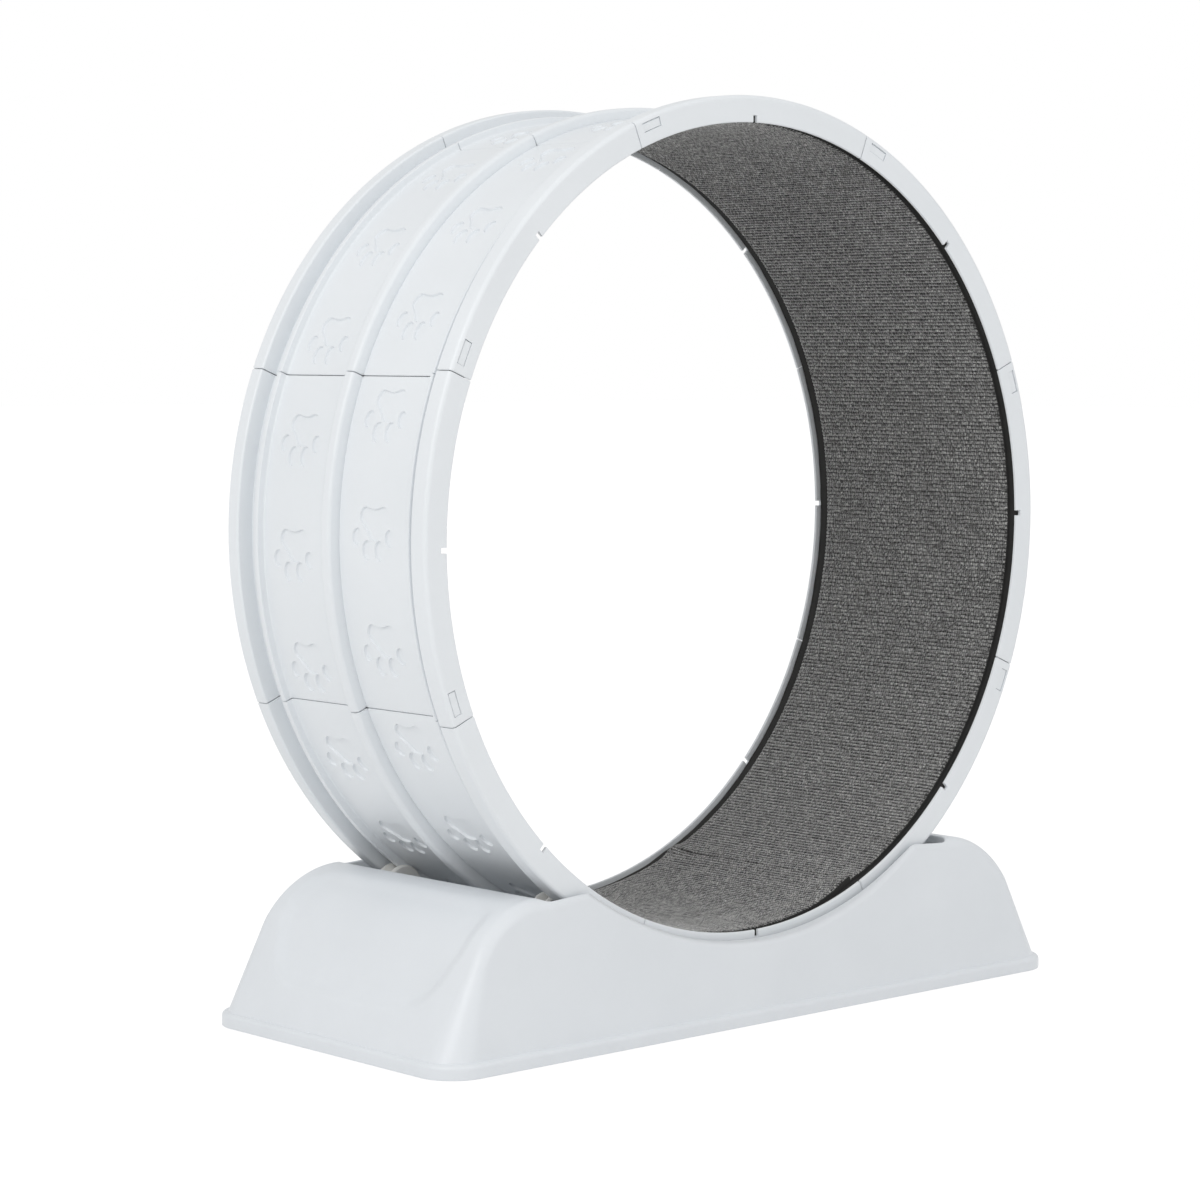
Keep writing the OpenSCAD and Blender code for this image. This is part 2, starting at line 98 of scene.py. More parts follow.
def polar(turn, y, r):
    """A point on the wheel, from its angle, its place along the axle and its radius."""
    a = math.radians(turn)
    return (r * math.cos(a), y, wheel_z + r * math.sin(a))


def arc_turn(length, r):
    """The angle that a length takes up on a circle."""
    return math.degrees(length / r)


def arc_z(r, x):
    """Height at x of the lower half of a circle about the wheel's axle."""
    return wheel_z - math.sqrt(max(0.0, r ** 2 - x ** 2))


def within_one(t):
    return min(1.0, max(0.0, t))


def ease(t):
    """A soft step from 0 to 1."""
    t = within_one(t)
    return t * t * (3 - 2 * t)


def link(thing):
    bpy.context.scene.collection.objects.link(thing)
    return thing


def quads(rings, closed=False):
    """Faces between rows of vertex numbers of one length."""
    faces = []
    for low, high in zip(rings, rings[1:]):
        n = len(low)
        for j in range(n if closed else n - 1):
            k = (j + 1) % n
            faces.append((low[j], low[k], high[k], high[j]))
    return faces


class Shape:
    """Points and faces while a piece is built."""

    def __init__(self):
        self.points = []
        self.faces = []

    def put(self, p):
        self.points.append((float(p[0]), float(p[1]), float(p[2])))
        return len(self.points) - 1

    def ring(self, points):
        return [self.put(p) for p in points]

    def sweep(self, sections, joined=False):
        """A solid through closed sections of one length. Its ends are closed, or joined to each other."""
        rings = [self.ring(section) for section in sections]
        self.faces += quads(rings + rings[:1] if joined else rings, closed=True)
        if not joined:
            self.faces += [tuple(rings[0]), tuple(rings[-1][::-1])]


def make_piece(name, points, faces, material, body, replaces, sharp=42.0, weld=True, weigh=True):
    """A closed mesh piece from points in millimetres, which rides on a body."""
    mesh = bpy.data.meshes.new(name)
    mesh.from_pydata((np.asarray(points, float) * METRES).tolist(), [], faces)
    shape = bmesh.new()
    shape.from_mesh(mesh)
    if weld:
        bmesh.ops.remove_doubles(shape, verts=shape.verts, dist=weld_distance * METRES)
    bmesh.ops.recalc_face_normals(shape, faces=shape.faces)
    shape.to_mesh(mesh)
    shape.free()
    mesh.polygons.foreach_set("use_smooth", [True] * len(mesh.polygons))
    mesh.set_sharp_from_angle(angle=math.radians(sharp))
    mesh.materials.append(material)
    piece = link(bpy.data.objects.new(name, mesh))
    if weigh:
        weighted = piece.modifiers.new("even_shading", "WEIGHTED_NORMAL")
        weighted.keep_sharp = True
    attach(piece, body)
    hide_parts(replaces)
    return piece


def filleted(corners, steps=4):
    """A closed outline from corners (a, b, radius), with its round corners worked out."""
    out = []
    count = len(corners)
    for i, (x, y, radius) in enumerate(corners):
        if radius <= 0:
            out.append((x, y))
            continue
        here = np.array((x, y))
        back = np.array(corners[i - 1][:2]) - here
        ahead = np.array(corners[(i + 1) % count][:2]) - here
        back /= np.linalg.norm(back)
        ahead /= np.linalg.norm(ahead)
        half = math.acos(float(np.clip(back @ ahead, -1, 1))) / 2
        middle = (back + ahead) / np.linalg.norm(back + ahead)
        centre = here + middle * radius / math.sin(half)
        start = here + back * radius / math.tan(half) - centre
        end = here + ahead * radius / math.tan(half) - centre
        first = math.atan2(start[1], start[0])
        last = math.atan2(end[1], end[0])
        sweep = (last - first + math.pi) % (2 * math.pi) - math.pi
        for k in range(steps + 1):
            a = first + sweep * k / steps
            out.append((float(centre[0]) + radius * math.cos(a), float(centre[1]) + radius * math.sin(a)))
    return out


def even_points(path, count, endpoint=True):
    """Points evenly spaced along a path."""
    walked = np.concatenate([[0], np.cumsum(np.linalg.norm(np.diff(path, axis=0), axis=1))])
    wanted = np.linspace(0, walked[-1], count, endpoint=endpoint)
    return np.stack([np.interp(wanted, walked, path[:, k]) for k in range(path.shape[1])], axis=1)


def inside(points, loop):
    """Which points lie inside the closed loop."""
    x, y = points[:, 0][:, None], points[:, 1][:, None]
    x0, y0 = loop[:, 0][None, :], loop[:, 1][None, :]
    x1, y1 = np.roll(x0, -1, axis=1), np.roll(y0, -1, axis=1)
    cross = (y0 > y) != (y1 > y)
    with np.errstate(divide="ignore", invalid="ignore"):
        at = x0 + (y - y0) * (x1 - x0) / (y1 - y0)
    return (np.sum(cross & (x < at), axis=1) % 2) == 1


def outward_normals(loop):
    """Unit normals of a closed flat loop that runs anticlockwise."""
    ahead = np.roll(loop, -1, axis=0) - np.roll(loop, 1, axis=0)
    normal = np.stack([ahead[:, 1], -ahead[:, 0]], axis=1)
    return normal / np.linalg.norm(normal, axis=1, keepdims=True)


# Node helpers

def add_node(tree, kind, inputs=None, **settings):
    made = tree.nodes.new(kind)
    for key, value in settings.items():
        setattr(made, key, value)
    for key, value in (inputs or {}).items():
        if isinstance(value, bpy.types.NodeSocket):
            tree.links.new(value, made.inputs[key])
        else:
            made.inputs[key].default_value = value
    return made


def maths(tree, operation, *values, clamp=False):
    """The result of one sum of numbers or sockets."""
    inputs = dict(enumerate(values))
    return add_node(tree, "ShaderNodeMath", inputs, operation=operation, use_clamp=clamp).outputs[0]


def noise(tree, place, scale, detail=2.0, roughness=0.5):
    inputs = {"Vector": place, "Scale": scale, "Detail": detail, "Roughness": roughness}
    return add_node(tree, "ShaderNodeTexNoise", inputs).outputs["Fac"]


def remap(tree, value, span=(0.0, 1.0), to=(0.0, 1.0)):
    """A value taken from one span to another, and held inside it."""
    inputs = {"Value": value, "From Min": span[0], "From Max": span[1], "To Min": to[0], "To Max": to[1]}
    return add_node(tree, "ShaderNodeMapRange", inputs).outputs[0]


def mixed(tree, share, first, second, blend_type="MIX"):
    """Two colours mixed. A colour is a socket, or red, green and blue."""
    first, second = (c if isinstance(c, bpy.types.NodeSocket) else (*c, 1.0) for c in (first, second))
    return add_node(tree, "ShaderNodeMix", {0: share, 6: first, 7: second},
                    data_type="RGBA", blend_type=blend_type).outputs[2]


def relief(tree, height, strength, distance):
    inputs = {"Height": height, "Strength": strength, "Distance": distance}
    return add_node(tree, "ShaderNodeBump", inputs).outputs[0]


def object_place(tree):
    return add_node(tree, "ShaderNodeTexCoord").outputs["Object"]


def stretched(tree, scale, rotation=(0.0, 0.0, 0.0)):
    """Places on the object, stretched for marks that run one way."""
    inputs = {"Vector": object_place(tree), "Rotation": rotation, "Scale": scale}
    return add_node(tree, "ShaderNodeMapping", inputs).outputs[0]


def new_group(name, inputs, outputs):
    group = bpy.data.node_groups.new(name, "ShaderNodeTree")
    for label, value in inputs.items():
        socket = group.interface.new_socket(label, in_out="INPUT", socket_type="NodeSocketFloat")
        socket.default_value = value
    for label in outputs:
        group.interface.new_socket(label, in_out="OUTPUT", socket_type="NodeSocketFloat")
    return group, group.nodes.new("NodeGroupInput").outputs, group.nodes.new("NodeGroupOutput").inputs


def placed_group(tree, group, **inputs):
    """A group in a material, with its own values. Returns its outputs."""
    made = tree.nodes.new("ShaderNodeGroup")
    made.node_tree = group
    for key, value in inputs.items():
        made.inputs[key.replace("_", " ")].default_value = value
    return made.outputs


def blank_material(name):
    material = bpy.data.materials.new(name)
    material.use_nodes = True
    material.node_tree.nodes.clear()
    return material, material.node_tree


def show_surface(tree, shader, output="ShaderNodeOutputMaterial"):
    tree.links.new(shader.outputs[0], add_node(tree, output).inputs["Surface"])


def principled(tree, colour, roughness, normal, more=None):
    """The material's own shader, from what changes over its surface and its plain values."""
    look = {"Base Color": colour, "Roughness": roughness, "Normal": normal, **(more or {})}
    show_surface(tree, add_node(tree, "ShaderNodeBsdfPrincipled", look))


# Effects that materials share

def moulded_grain_group():
    """Spark-eroded grain, the slow waves of a moulded wall and a faint mottle."""
    group, given, result = new_group(
        "moulded_grain",
        {"Grain Scale": 2600.0, "Grain Depth": 0.35, "Wave Scale": 26.0, "Wave Depth": 0.5},
        ("Height", "Mottle"))
    place = object_place(group)
    grain = noise(group, place, given["Grain Scale"], detail=3.0, roughness=0.6)
    wave = noise(group, place, given["Wave Scale"], detail=1.0)
    mottle = noise(group, place, scale=9.0, detail=4.0, roughness=0.55)
    grain_part = maths(group, "MULTIPLY", grain, given["Grain Depth"])
    group.links.new(maths(group, "MULTIPLY_ADD", wave, given["Wave Depth"], grain_part), result["Height"])
    group.links.new(mottle, result["Mottle"])
    return group


def handling_marks_group():
    """Fine scuffs in two directions and a little dust, as masks."""
    group, given, result = new_group(
        "handling_marks", {"Scuff Scale": 60.0, "Dust Scale": 300.0}, ("Scuffs", "Dust"))
    place = stretched(group, scale=(1.0, 12.0, 1.6), rotation=(0.4, 0.9, 0.2))
    streaks = noise(group, place, given["Scuff Scale"], detail=5.0, roughness=0.7)
    specks = noise(group, object_place(group), given["Dust Scale"], detail=6.0, roughness=0.75)
    group.links.new(remap(group, streaks, span=(0.62, 0.78)), result["Scuffs"])
    group.links.new(remap(group, specks, span=(0.45, 0.9)), result["Dust"])
    return group


moulded_grain = moulded_grain_group()
handling_marks = handling_marks_group()


# Materials

dust_colour = (0.62, 0.61, 0.59)


def plastic_material(name, light, dark, rough):
    """Moulded plastic: two near tones of one colour, grain, scuffs and dust."""
    material, tree = blank_material(name)
    grain = placed_group(tree, moulded_grain)
    marks = placed_group(tree, handling_marks)
    colour = mixed(tree, remap(tree, grain["Mottle"], span=(0.35, 0.65)), light, dark)
    dusted = mixed(tree, maths(tree, "MULTIPLY", marks["Dust"], 0.05), colour, dust_colour)
    gloss = remap(tree, marks["Scuffs"], to=(rough, rough + 0.12))
    normal = relief(tree, grain["Height"], strength=0.12, distance=0.0006)
    principled(tree, dusted, gloss, normal, {"IOR": 1.46})
    return material


def carpet_material():
    """Looped pile in heather grey: rows across the runner, and a loop every few millimetres in a row."""
    material, tree = blank_material("carpet_loops")
    place = object_place(tree)
    grid = add_node(tree, "ShaderNodeUVMap", uv_map="runner_rows")
    along, across, _ = add_node(tree, "ShaderNodeSeparateXYZ", {0: grid.outputs[0]}).outputs

    # Rows that drift a little, and the loops in them
    drift = maths(tree, "MULTIPLY_ADD", noise(tree, place, scale=130.0), 0.7, along)
    row = maths(tree, "ADD", drift, -0.35)
    crest = maths(tree, "ABSOLUTE", maths(tree, "SINE", maths(tree, "MULTIPLY", row, math.pi)))
    cell = add_node(tree, "ShaderNodeCombineXYZ", {0: row, 1: across}).outputs[0]
    loops = add_node(tree, "ShaderNodeTexVoronoi", {"Vector": cell, "Scale": 1.0, "Randomness": 0.75},
                     voronoi_dimensions="2D").outputs

    # Heather yarn: dark and light fibres
    heather = noise(tree, place, scale=520.0, detail=4.0, roughness=0.75)
    yarn = add_node(tree, "ShaderNodeValToRGB", {"Fac": heather})
    dark, light = yarn.color_ramp.elements
    dark.position, dark.color = 0.38, (0.05, 0.05, 0.0485, 1.0)
    light.position, light.color = 0.62, (0.42, 0.418, 0.405, 1.0)

    # Painted shade between rows and between loops, uneven loops, slow patches, and a painted sheen that
    # lightens the pile where it is seen at a low angle and darkens it where it is seen head-on
    # painted shade: the colour is darker in the valleys between rows and between loops, and lighter on the
    # row crests and loop middles
    shade_between_rows = remap(tree, crest, span=(0.15, 0.8), to=(0.1, 1.35))
    shade_between_loops = remap(tree, loops["Distance"], span=(0.1, 0.7), to=(1.25, 0.25))
    each_loop = remap(tree, loops["Color"], to=(0.4, 1.6))
    slow = remap(tree, noise(tree, place, scale=14.0, detail=3.0), span=(0.3, 0.7), to=(0.92, 1.08))
    # painted sheen: the pile's colour is lightened where it is seen at a low angle and darkened where it
    # is seen head-on
    layer = add_node(tree, "ShaderNodeLayerWeight", {"Blend": 0.5})
    painted_sheen = remap(tree, layer.outputs["Facing"], span=(0.6, 0.9), to=(0.84, 1.9))
    shade = shade_between_rows
    for part in (each_loop, shade_between_loops, painted_sheen, slow):
        shade = maths(tree, "MULTIPLY", shade, part)
    colour = mixed(tree, 1.0, yarn.outputs[0], shade, blend_type="MULTIPLY")

    height = maths(tree, "MULTIPLY_ADD", loops["Distance"], -1.0, heather)
    normal = relief(tree, height, strength=0.9, distance=0.0012)
    principled(tree, colour, 0.95, normal, {"Sheen Weight": 1.0, "Sheen Roughness": 0.4})
    return material


def foam_material():
    """Closed-cell foam: near black, with small cells."""
    material, tree = blank_material("cell_foam")
    place = object_place(tree)
    cells = add_node(tree, "ShaderNodeTexVoronoi", {"Vector": place, "Scale": 900.0})
    slow = noise(tree, place, scale=60.0, detail=3.0)
    colour = mixed(tree, slow, (0.018, 0.018, 0.017), (0.036, 0.035, 0.034))
    principled(tree, colour, 0.9, relief(tree, cells.outputs["Distance"], strength=0.4, distance=0.0004))
    return material


def steel_material(name, colour, rough):
    """Turned steel: rings of fine tool marks and a few dull spots."""
    material, tree = blank_material(name)
    marks = noise(tree, stretched(tree, scale=(1.0, 40.0, 1.0)), scale=90.0, detail=4.0)
    handled = placed_group(tree, handling_marks)
    gloss = remap(tree, marks, to=(rough - 0.08, rough + 0.12))
    dulled = maths(tree, "MULTIPLY_ADD", handled["Scuffs"], 0.2, gloss, clamp=True)
    normal = relief(tree, marks, strength=0.15, distance=0.0002)
    principled(tree, (*colour, 1.0), dulled, normal, {"Metallic": 1.0})
    return material


def rubber_material():
    """Soft rubber: near black, matt, with a dusty bloom."""
    material, tree = blank_material("foot_rubber")
    grain = placed_group(tree, moulded_grain, Grain_Scale=1500.0, Grain_Depth=0.6, Wave_Depth=0.3)
    marks = placed_group(tree, handling_marks, Scuff_Scale=120.0)
    bloom = mixed(tree, marks["Dust"], (0.02, 0.02, 0.021), (0.06, 0.06, 0.058))
    principled(tree, bloom, 0.82, relief(tree, grain["Height"], strength=0.3, distance=0.0005))
    return material


shell_plastic = plastic_material("moulded_shell_plastic", (0.81, 0.84, 0.87), (0.785, 0.815, 0.845), 0.34)
wheel_plastic = plastic_material("moulded_wheel_plastic", (0.845, 0.875, 0.90), (0.825, 0.855, 0.88), 0.34)
roller_plastic = plastic_material("moulded_roller_plastic", (0.90, 0.89, 0.86), (0.86, 0.85, 0.82), 0.3)
bracket_plastic = plastic_material("moulded_bracket_plastic", (0.56, 0.575, 0.6), (0.5, 0.515, 0.54), 0.45)
spacer_plastic = plastic_material("spacer_plastic", (0.05, 0.05, 0.055), (0.035, 0.035, 0.04), 0.5)
carpet_loops = carpet_material()
cell_foam = foam_material()
axle_steel = steel_material("axle_steel", (0.62, 0.62, 0.63), 0.28)
bearing_steel = steel_material("bearing_steel", (0.52, 0.53, 0.55), 0.24)
spring_steel = steel_material("spring_steel", (0.16, 0.16, 0.17), 0.4)
screw_steel = steel_material("screw_steel", (0.55, 0.56, 0.56), 0.33)
foot_rubber = rubber_material()


# Cross-section of a wheel segment

lip_r = wheel_r - 24.5
band_r = wheel_r - 14.8
floor_r = band_r - 3.0
rib_r = wheel_r - 4.3
ridge_r = wheel_r - 7.3
groove_r = band_r - 1.3
crease_r = band_r - 1.2
crease_w = 1.3
crease_side = 0.3
rim_wall = 3.0
ridge_in = 102.7
front_ridge_lower = 0.3
rib_round = 3.8
crease_round = 0.4
groove_round = 0.5
rim_inner_round = 2.2
lip_outer_round = 1.1
lip_inner_round = 0.9
window_top = wheel_r - 4.4
window_foot = window_top - 8.5
notch_top = lip_r + 6.5


def half_outline(rib_top, rib_foot, ridge_foot, ridge_top_r, ridge_out, ridge_rounds, rim_in, rim_round):
    """Corners of one half, from the rib over the ridge and the rim to the lip, and back inside.

    Each is (distance along the axle from the rib's middle, radius, rounding)."""
    rim_out = wheel_half_w
    foot_round, inner_round, outer_round = ridge_rounds
    return [
        (rib_top, rib_r, rib_round),
        (rib_foot, crease_r, crease_round),
        (rib_foot + crease_w, crease_r, crease_round),
        (rib_foot + crease_w + crease_side, band_r, crease_side),
        (ridge_foot, band_r, foot_round),
        (ridge_in, ridge_top_r, inner_round),
        (ridge_out, ridge_top_r, outer_round),
        (ridge_out, groove_r, groove_round),
        (rim_in, groove_r, groove_round),
        (rim_in, wheel_r, rim_inner_round),
        (rim_out, wheel_r, rim_round),
        (rim_out, window_top, 0),
        (rim_out, window_foot, 0),
        (rim_out, notch_top, 0),
        (rim_out, lip_r, lip_outer_round),
        (rim_out - rim_wall, lip_r, lip_inner_round),
        (rim_out - rim_wall, notch_top, 0),
        (rim_out - rim_wall, wheel_r - rim_wall, 0),
        (rim_in + rim_wall, wheel_r - rim_wall, 0),
        (rim_in + rim_wall, floor_r, 0)]


def segment_outline():
    """The cross-section as (y, radius) points. The rib is a little to the rear, and the halves differ."""
    rear = half_outline(
        rib_top=9.2, rib_foot=12.4, ridge_foot=ridge_in, ridge_top_r=ridge_r, ridge_out=109.3,
        ridge_rounds=(2.0, 1.0, 2.2), rim_in=121.8, rim_round=1.7)
    front = half_outline(
        rib_top=2.6, rib_foot=3.1, ridge_foot=100.0, ridge_top_r=ridge_r - front_ridge_lower,
        ridge_out=106.2, ridge_rounds=(3.2, 1.6, 1.5), rim_in=117.4, rim_round=3.8)
    return filleted(rear + [(-y, r, rounding) for y, r, rounding in reversed(front)])


def inset_outline(outline, depth):
    """The outline pulled in by depth all round."""
    pts = np.array(outline)
    before = np.roll(pts, 1, axis=0)
    after = np.roll(pts, -1, axis=0)
    run_in = pts - before
    run_out = after - pts
    run_in /= np.maximum(np.linalg.norm(run_in, axis=1, keepdims=True), 1e-9)
    run_out /= np.maximum(np.linalg.norm(run_out, axis=1, keepdims=True), 1e-9)
    along = run_in + run_out
    along /= np.maximum(np.linalg.norm(along, axis=1, keepdims=True), 1e-9)
    normal = np.stack([along[:, 1], -along[:, 0]], axis=1)
    area = 0.5 * np.sum(pts[:, 0] * after[:, 1] - after[:, 0] * pts[:, 1])
    sign = -1.0 if area > 0 else 1.0
    return pts + sign * normal * depth


# Places round a wheel segment

segment_count = 8
segment_turn = 360 / segment_count
segment_middle = segment_turn / 2
rest_turn = 0.74
window_mid = (window_top + window_foot) / 2
window_start = segment_turn - arc_turn(30.0, window_mid)
window_end = segment_turn - arc_turn(8.0, window_mid)
window_depth = 2.2
catch_near_gap = 0.35
catch_far_gap = 0.9
catch_top_gap = 1.0
catch_sunk = 0.55
catch_back = 2.3
catch_edge = 0.3
catch_steps = 5
notch_half = arc_turn(2.5, (lip_r + notch_top) / 2)
joint_half = arc_turn(0.45, wheel_r)
edge_turn = arc_turn(0.9, wheel_r)
edge_inset = 0.6
plain_step = 1.5
least_step = 0.4
least_band_w = 50.0


def segment_stations():
    """Angles from a segment's start at which its section is drawn."""
    fixed = [joint_half, joint_half + edge_turn, segment_middle - notch_half, segment_middle + notch_half,
             window_start, window_end, segment_turn - joint_half - edge_turn, segment_turn - joint_half]
    plain = [plain_step * k for k in range(1, int(segment_turn / plain_step))]
    return sorted(fixed + [a for a in plain if min(abs(a - f) for f in fixed) > least_step])


def station_span(stations, start, end):
    """The numbers of the stations from one angle up to another."""
    near = [min(range(len(stations)), key=lambda i: abs(stations[i] - turn)) for turn in (start, end)]
    return range(*near)


# The paw motif, in shares of its own half width and half height
# A toe has its middle, its half width, its half height and its lean

paw_half_w = 26.8
paw_half_h = 23.4
heel_share_points = [
    (-0.47, -0.97), (-0.62, -0.86), (-0.71, -0.64), (-0.67, -0.44), (-0.52, -0.26), (-0.34, -0.04),
    (-0.24, 0.13), (-0.12, 0.24), (0.06, 0.26), (0.22, 0.22), (0.32, 0.06), (0.46, -0.2), (0.6, -0.42),
    (0.68, -0.62), (0.66, -0.84), (0.53, -0.96), (0.36, -0.98), (0.2, -0.92), (0.0, -0.885), (-0.2, -0.91)]
toe_shares = [
    (-0.86, 0.14, 0.215, 0.32, 13.0), (-0.34, 0.63, 0.235, 0.37, 2.0),
    (0.27, 0.63, 0.225, 0.37, -1.0), (0.78, 0.16, 0.21, 0.32, -9.0)]
heel_count = 76
toe_count = 32
curve_steps = 12
paw_depth = 2.1
paw_slope = 0.35
paw_count = 3
paw_pitch = 15.45
paw_first = {-1: 5.4, 1: 9.0}
paw_middle_y = {-1: -51.2, 1: 59.4}
paw_clear = 2.2
band_columns = 9


def smooth_loop(points, count):
    """An even closed curve through the points."""
    n = len(points)
    fine = []
    for i in range(n):
        p0, p1, p2, p3 = (points[(i + k) % n] for k in (-1, 0, 1, 2))
        for t in np.linspace(0, 1, curve_steps, endpoint=False):
            fine.append(0.5 * ((2 * p1) + (p2 - p0) * t + (2 * p0 - 5 * p1 + 4 * p2 - p3) * t * t
                               + (3 * p1 - p0 - 3 * p2 + p3) * t ** 3))
    return even_points(np.array(fine + [fine[0]]), count, endpoint=False)


def paw_loops():
    """The motif's five outlines in millimetres, as (toward the front, round the wheel)."""
    size = np.array([paw_half_w, paw_half_h])
    loops = [smooth_loop(np.array(heel_share_points) * size, heel_count)]
    a = np.radians(np.arange(0, 360, 360 / toe_count))
    for across, along, half_w, half_h, lean in toe_shares:
        x = half_w * paw_half_w * np.cos(a)
        y = half_h * paw_half_h * np.sin(a)
        c, s = math.cos(math.radians(lean)), math.sin(math.radians(lean))
        middle = np.array([across, along]) * size
        loops.append(np.stack([middle[0] + c * x - s * y, middle[1] + s * x + c * y], axis=1))
    return loops


def band_paws(side, per_degree):
    """The outlines of a band's motifs, as (distance round the wheel, y)."""
    paws = []
    for k in range(paw_count):
        for loop in paw_loops():
            along = (paw_first[side] + paw_pitch * k) * per_degree + loop[:, 1]
            paws.append(np.stack([along, paw_middle_y[side] - loop[:, 0]], axis=1))
    return paws


def add_band(shape, side, stations, y_near, y_far):
    """One band between the rib and a ridge, with its sunk motifs. A level is a share of their depth."""
    per_degree = math.radians(band_r)
    paws = band_paws(side, per_degree)
    points, levels, edges = [], [], []
    for paw in paws:
        after = np.roll(paw, -1, axis=0)
        turning = np.sum(paw[:, 0] * after[:, 1] - after[:, 0] * paw[:, 1])
        normal = outward_normals(paw) * (1.0 if turning > 0 else -1.0)
        for offset, level in ((paw_slope, 0.0), (0.0, 0.5), (-paw_slope, 1.0)):
            first = len(points)
            count = len(paw)
            points += (paw + normal * offset).tolist()
            levels += [level] * count
            edges += [(first + i, first + (i + 1) % count) for i in range(count)]
    slopes = np.array(points)
    border = {0: [], band_columns - 1: []}
    for i, turn in enumerate(stations):
        for j, y in enumerate(np.linspace(y_near, y_far, band_columns)):
            p = np.array([turn * per_degree, side * y])
            if j in border:
                border[j].append(len(points))
            elif i in (0, len(stations) - 1) or np.min(np.linalg.norm(slopes - p, axis=1)) < paw_clear:
                continue
            points.append(p.tolist())
            levels.append(1.0 if any(inside(p[None, :], paw)[0] for paw in paws) else 0.0)
    near, far = border.values()
    edges += list(zip(near, near[1:])) + list(zip(far, far[1:])) + [(near[0], far[0]), (near[-1], far[-1])]
    verts, _, faces, came_from, _, _ = delaunay_2d_cdt([Vector(p) for p in points], edges, [], 0, 1e-4)
    numbers = []
    for v, source in zip(verts, came_from):
        level = levels[source[0]] if source else 0.0
        numbers.append(shape.put(polar(v.x / per_degree, v.y, band_r - paw_depth * level)))
    shape.faces += [tuple(numbers[k] for k in f) for f in faces]


# Wheel segments

def add_window(shape, side, turns):
    """The recess of a window in a rim's face."""
    face = wheel_half_w
    deep = wheel_half_w - window_depth
    section = [(face, window_foot), (deep, window_foot), (deep, window_top), (face, window_top)]
    rings = [shape.ring(polar(turn, side * y, r) for y, r in section) for turn in turns]
    shape.faces += quads(rings)
    shape.faces += [tuple(rings[0]), tuple(rings[-1])]


def add_catch(shape, side):
    """The catch that shows in a window, a little below the face and nearer to the joint."""
    start = window_start + arc_turn(catch_far_gap, window_mid)
    end = window_end - arc_turn(catch_near_gap, window_mid)
    turns = np.linspace(start, end, catch_steps)
    low = window_foot + catch_near_gap
    high = window_top - catch_top_gap
    face = wheel_half_w - catch_sunk
    back = wheel_half_w - catch_back
    section = [(back, low), (face - catch_edge, low), (face, low + catch_edge), (face, high - catch_edge),
               (face - catch_edge, high), (back, high)]
    shape.sweep([[polar(turn, side * y, r) for y, r in section] for turn in turns])


def segment_shape():
    """One segment whose start lies at angle zero."""
    shape = Shape()
    stations = segment_stations()
    outline = segment_outline()
    pulled = inset_outline(outline, edge_inset)
    count = len(outline)
    last = len(stations) - 1
    rings = [shape.ring(polar(turn, y, r) for y, r in (pulled if i in (0, last) else outline))
             for i, turn in enumerate(stations)]
    window = station_span(stations, window_start, window_end)
    notch = station_span(stations, segment_middle - notch_half, segment_middle + notch_half)
    band = range(1, last - 1)
    bands = {}

    def left_out(j):
        """The steps round the wheel at which the section's edge j has no face of its own."""
        (y0, r0), (y1, r1) = outline[j], outline[(j + 1) % count]
        near, far = sorted((abs(y0), abs(y1)))
        low, high = sorted((r0, r1))
        if max(abs(low - band_r), abs(high - band_r)) < 1e-6 and far - near > least_band_w:
            bands[1 if y0 > 0 else -1] = (near, far)
            return band
        if max(abs(low - window_foot), abs(high - window_top), wheel_half_w - near) < 1e-6:
            return window
        if high < notch_top + 1e-6 and near > wheel_half_w - rim_wall - 1:
            return notch
        return ()

    gaps = [left_out(j) for j in range(count)]
    for j, gap in enumerate(gaps):
        k = (j + 1) % count
        shape.faces += [(rings[i][j], rings[i][k], rings[i + 1][k], rings[i + 1][j])
                        for i in range(last) if i not in gap]
    shape.faces += [tuple(rings[0]), tuple(rings[last][::-1])]

    for side in (1, -1):
        run = [j for j in range(count) if gaps[j] is notch and outline[j][0] * side > 0]
        run.append((run[-1] + 1) % count)
        for i in (notch.start, notch.stop):
            shape.faces.append(tuple(rings[i][j] for j in run))
        roof = [(rings[i][run[0]], rings[i][run[-1]]) for i in range(notch.start, notch.stop + 1)]
        shape.faces += quads(roof)
    for side in (1, -1):
        add_window(shape, side, stations[window.start:window.stop + 1])
    for side, (y_near, y_far) in bands.items():
        add_band(shape, side, stations[1:-1], y_near, y_far)
    for side in (1, -1):
        add_catch(shape, side)
    return shape


def turned(points, turn):
    """The points turned about the wheel's axle."""
    pts = np.array(points, float)
    a = math.radians(turn)
    x, z = pts[:, 0].copy(), pts[:, 2] - wheel_z
    pts[:, 0] = x * math.cos(a) - z * math.sin(a)
    pts[:, 2] = wheel_z + x * math.sin(a) + z * math.cos(a)
    return pts


def make_segments():
    shape = segment_shape()
    for k in range(segment_count):
        points = turned(shape.points, (k - 0.5) * segment_turn + rest_turn)
        make_piece(f"wheel_segment_{k + 1}_moulding", points, shape.faces, wheel_plastic, "wheel",
                   f"wheel_segment_{k + 1}")


# Linings of the wheel

lining_gap = 0.3
mat_back_r = floor_r - lining_gap
mat_face_r = mat_back_r - 1.8
mat_half_w = 132.5
mat_edge = 0.4
mat_edge_in = 0.5
mat_wave = 0.25
mat_waves = 23
mat_fine_wave = 0.2
mat_fine_waves = 57
mat_fine_phase = 40
mat_steps = 720
mat_gap = 0.15
carpet_face_r = lip_r - 0.2
carpet_back_r = carpet_face_r + 4.5
carpet_front_y = -124.0
carpet_rear_y = 118.8
carpet_gap = 0.12
row_length = 3.82
loop_width = 2.6
least_pile = 0.6

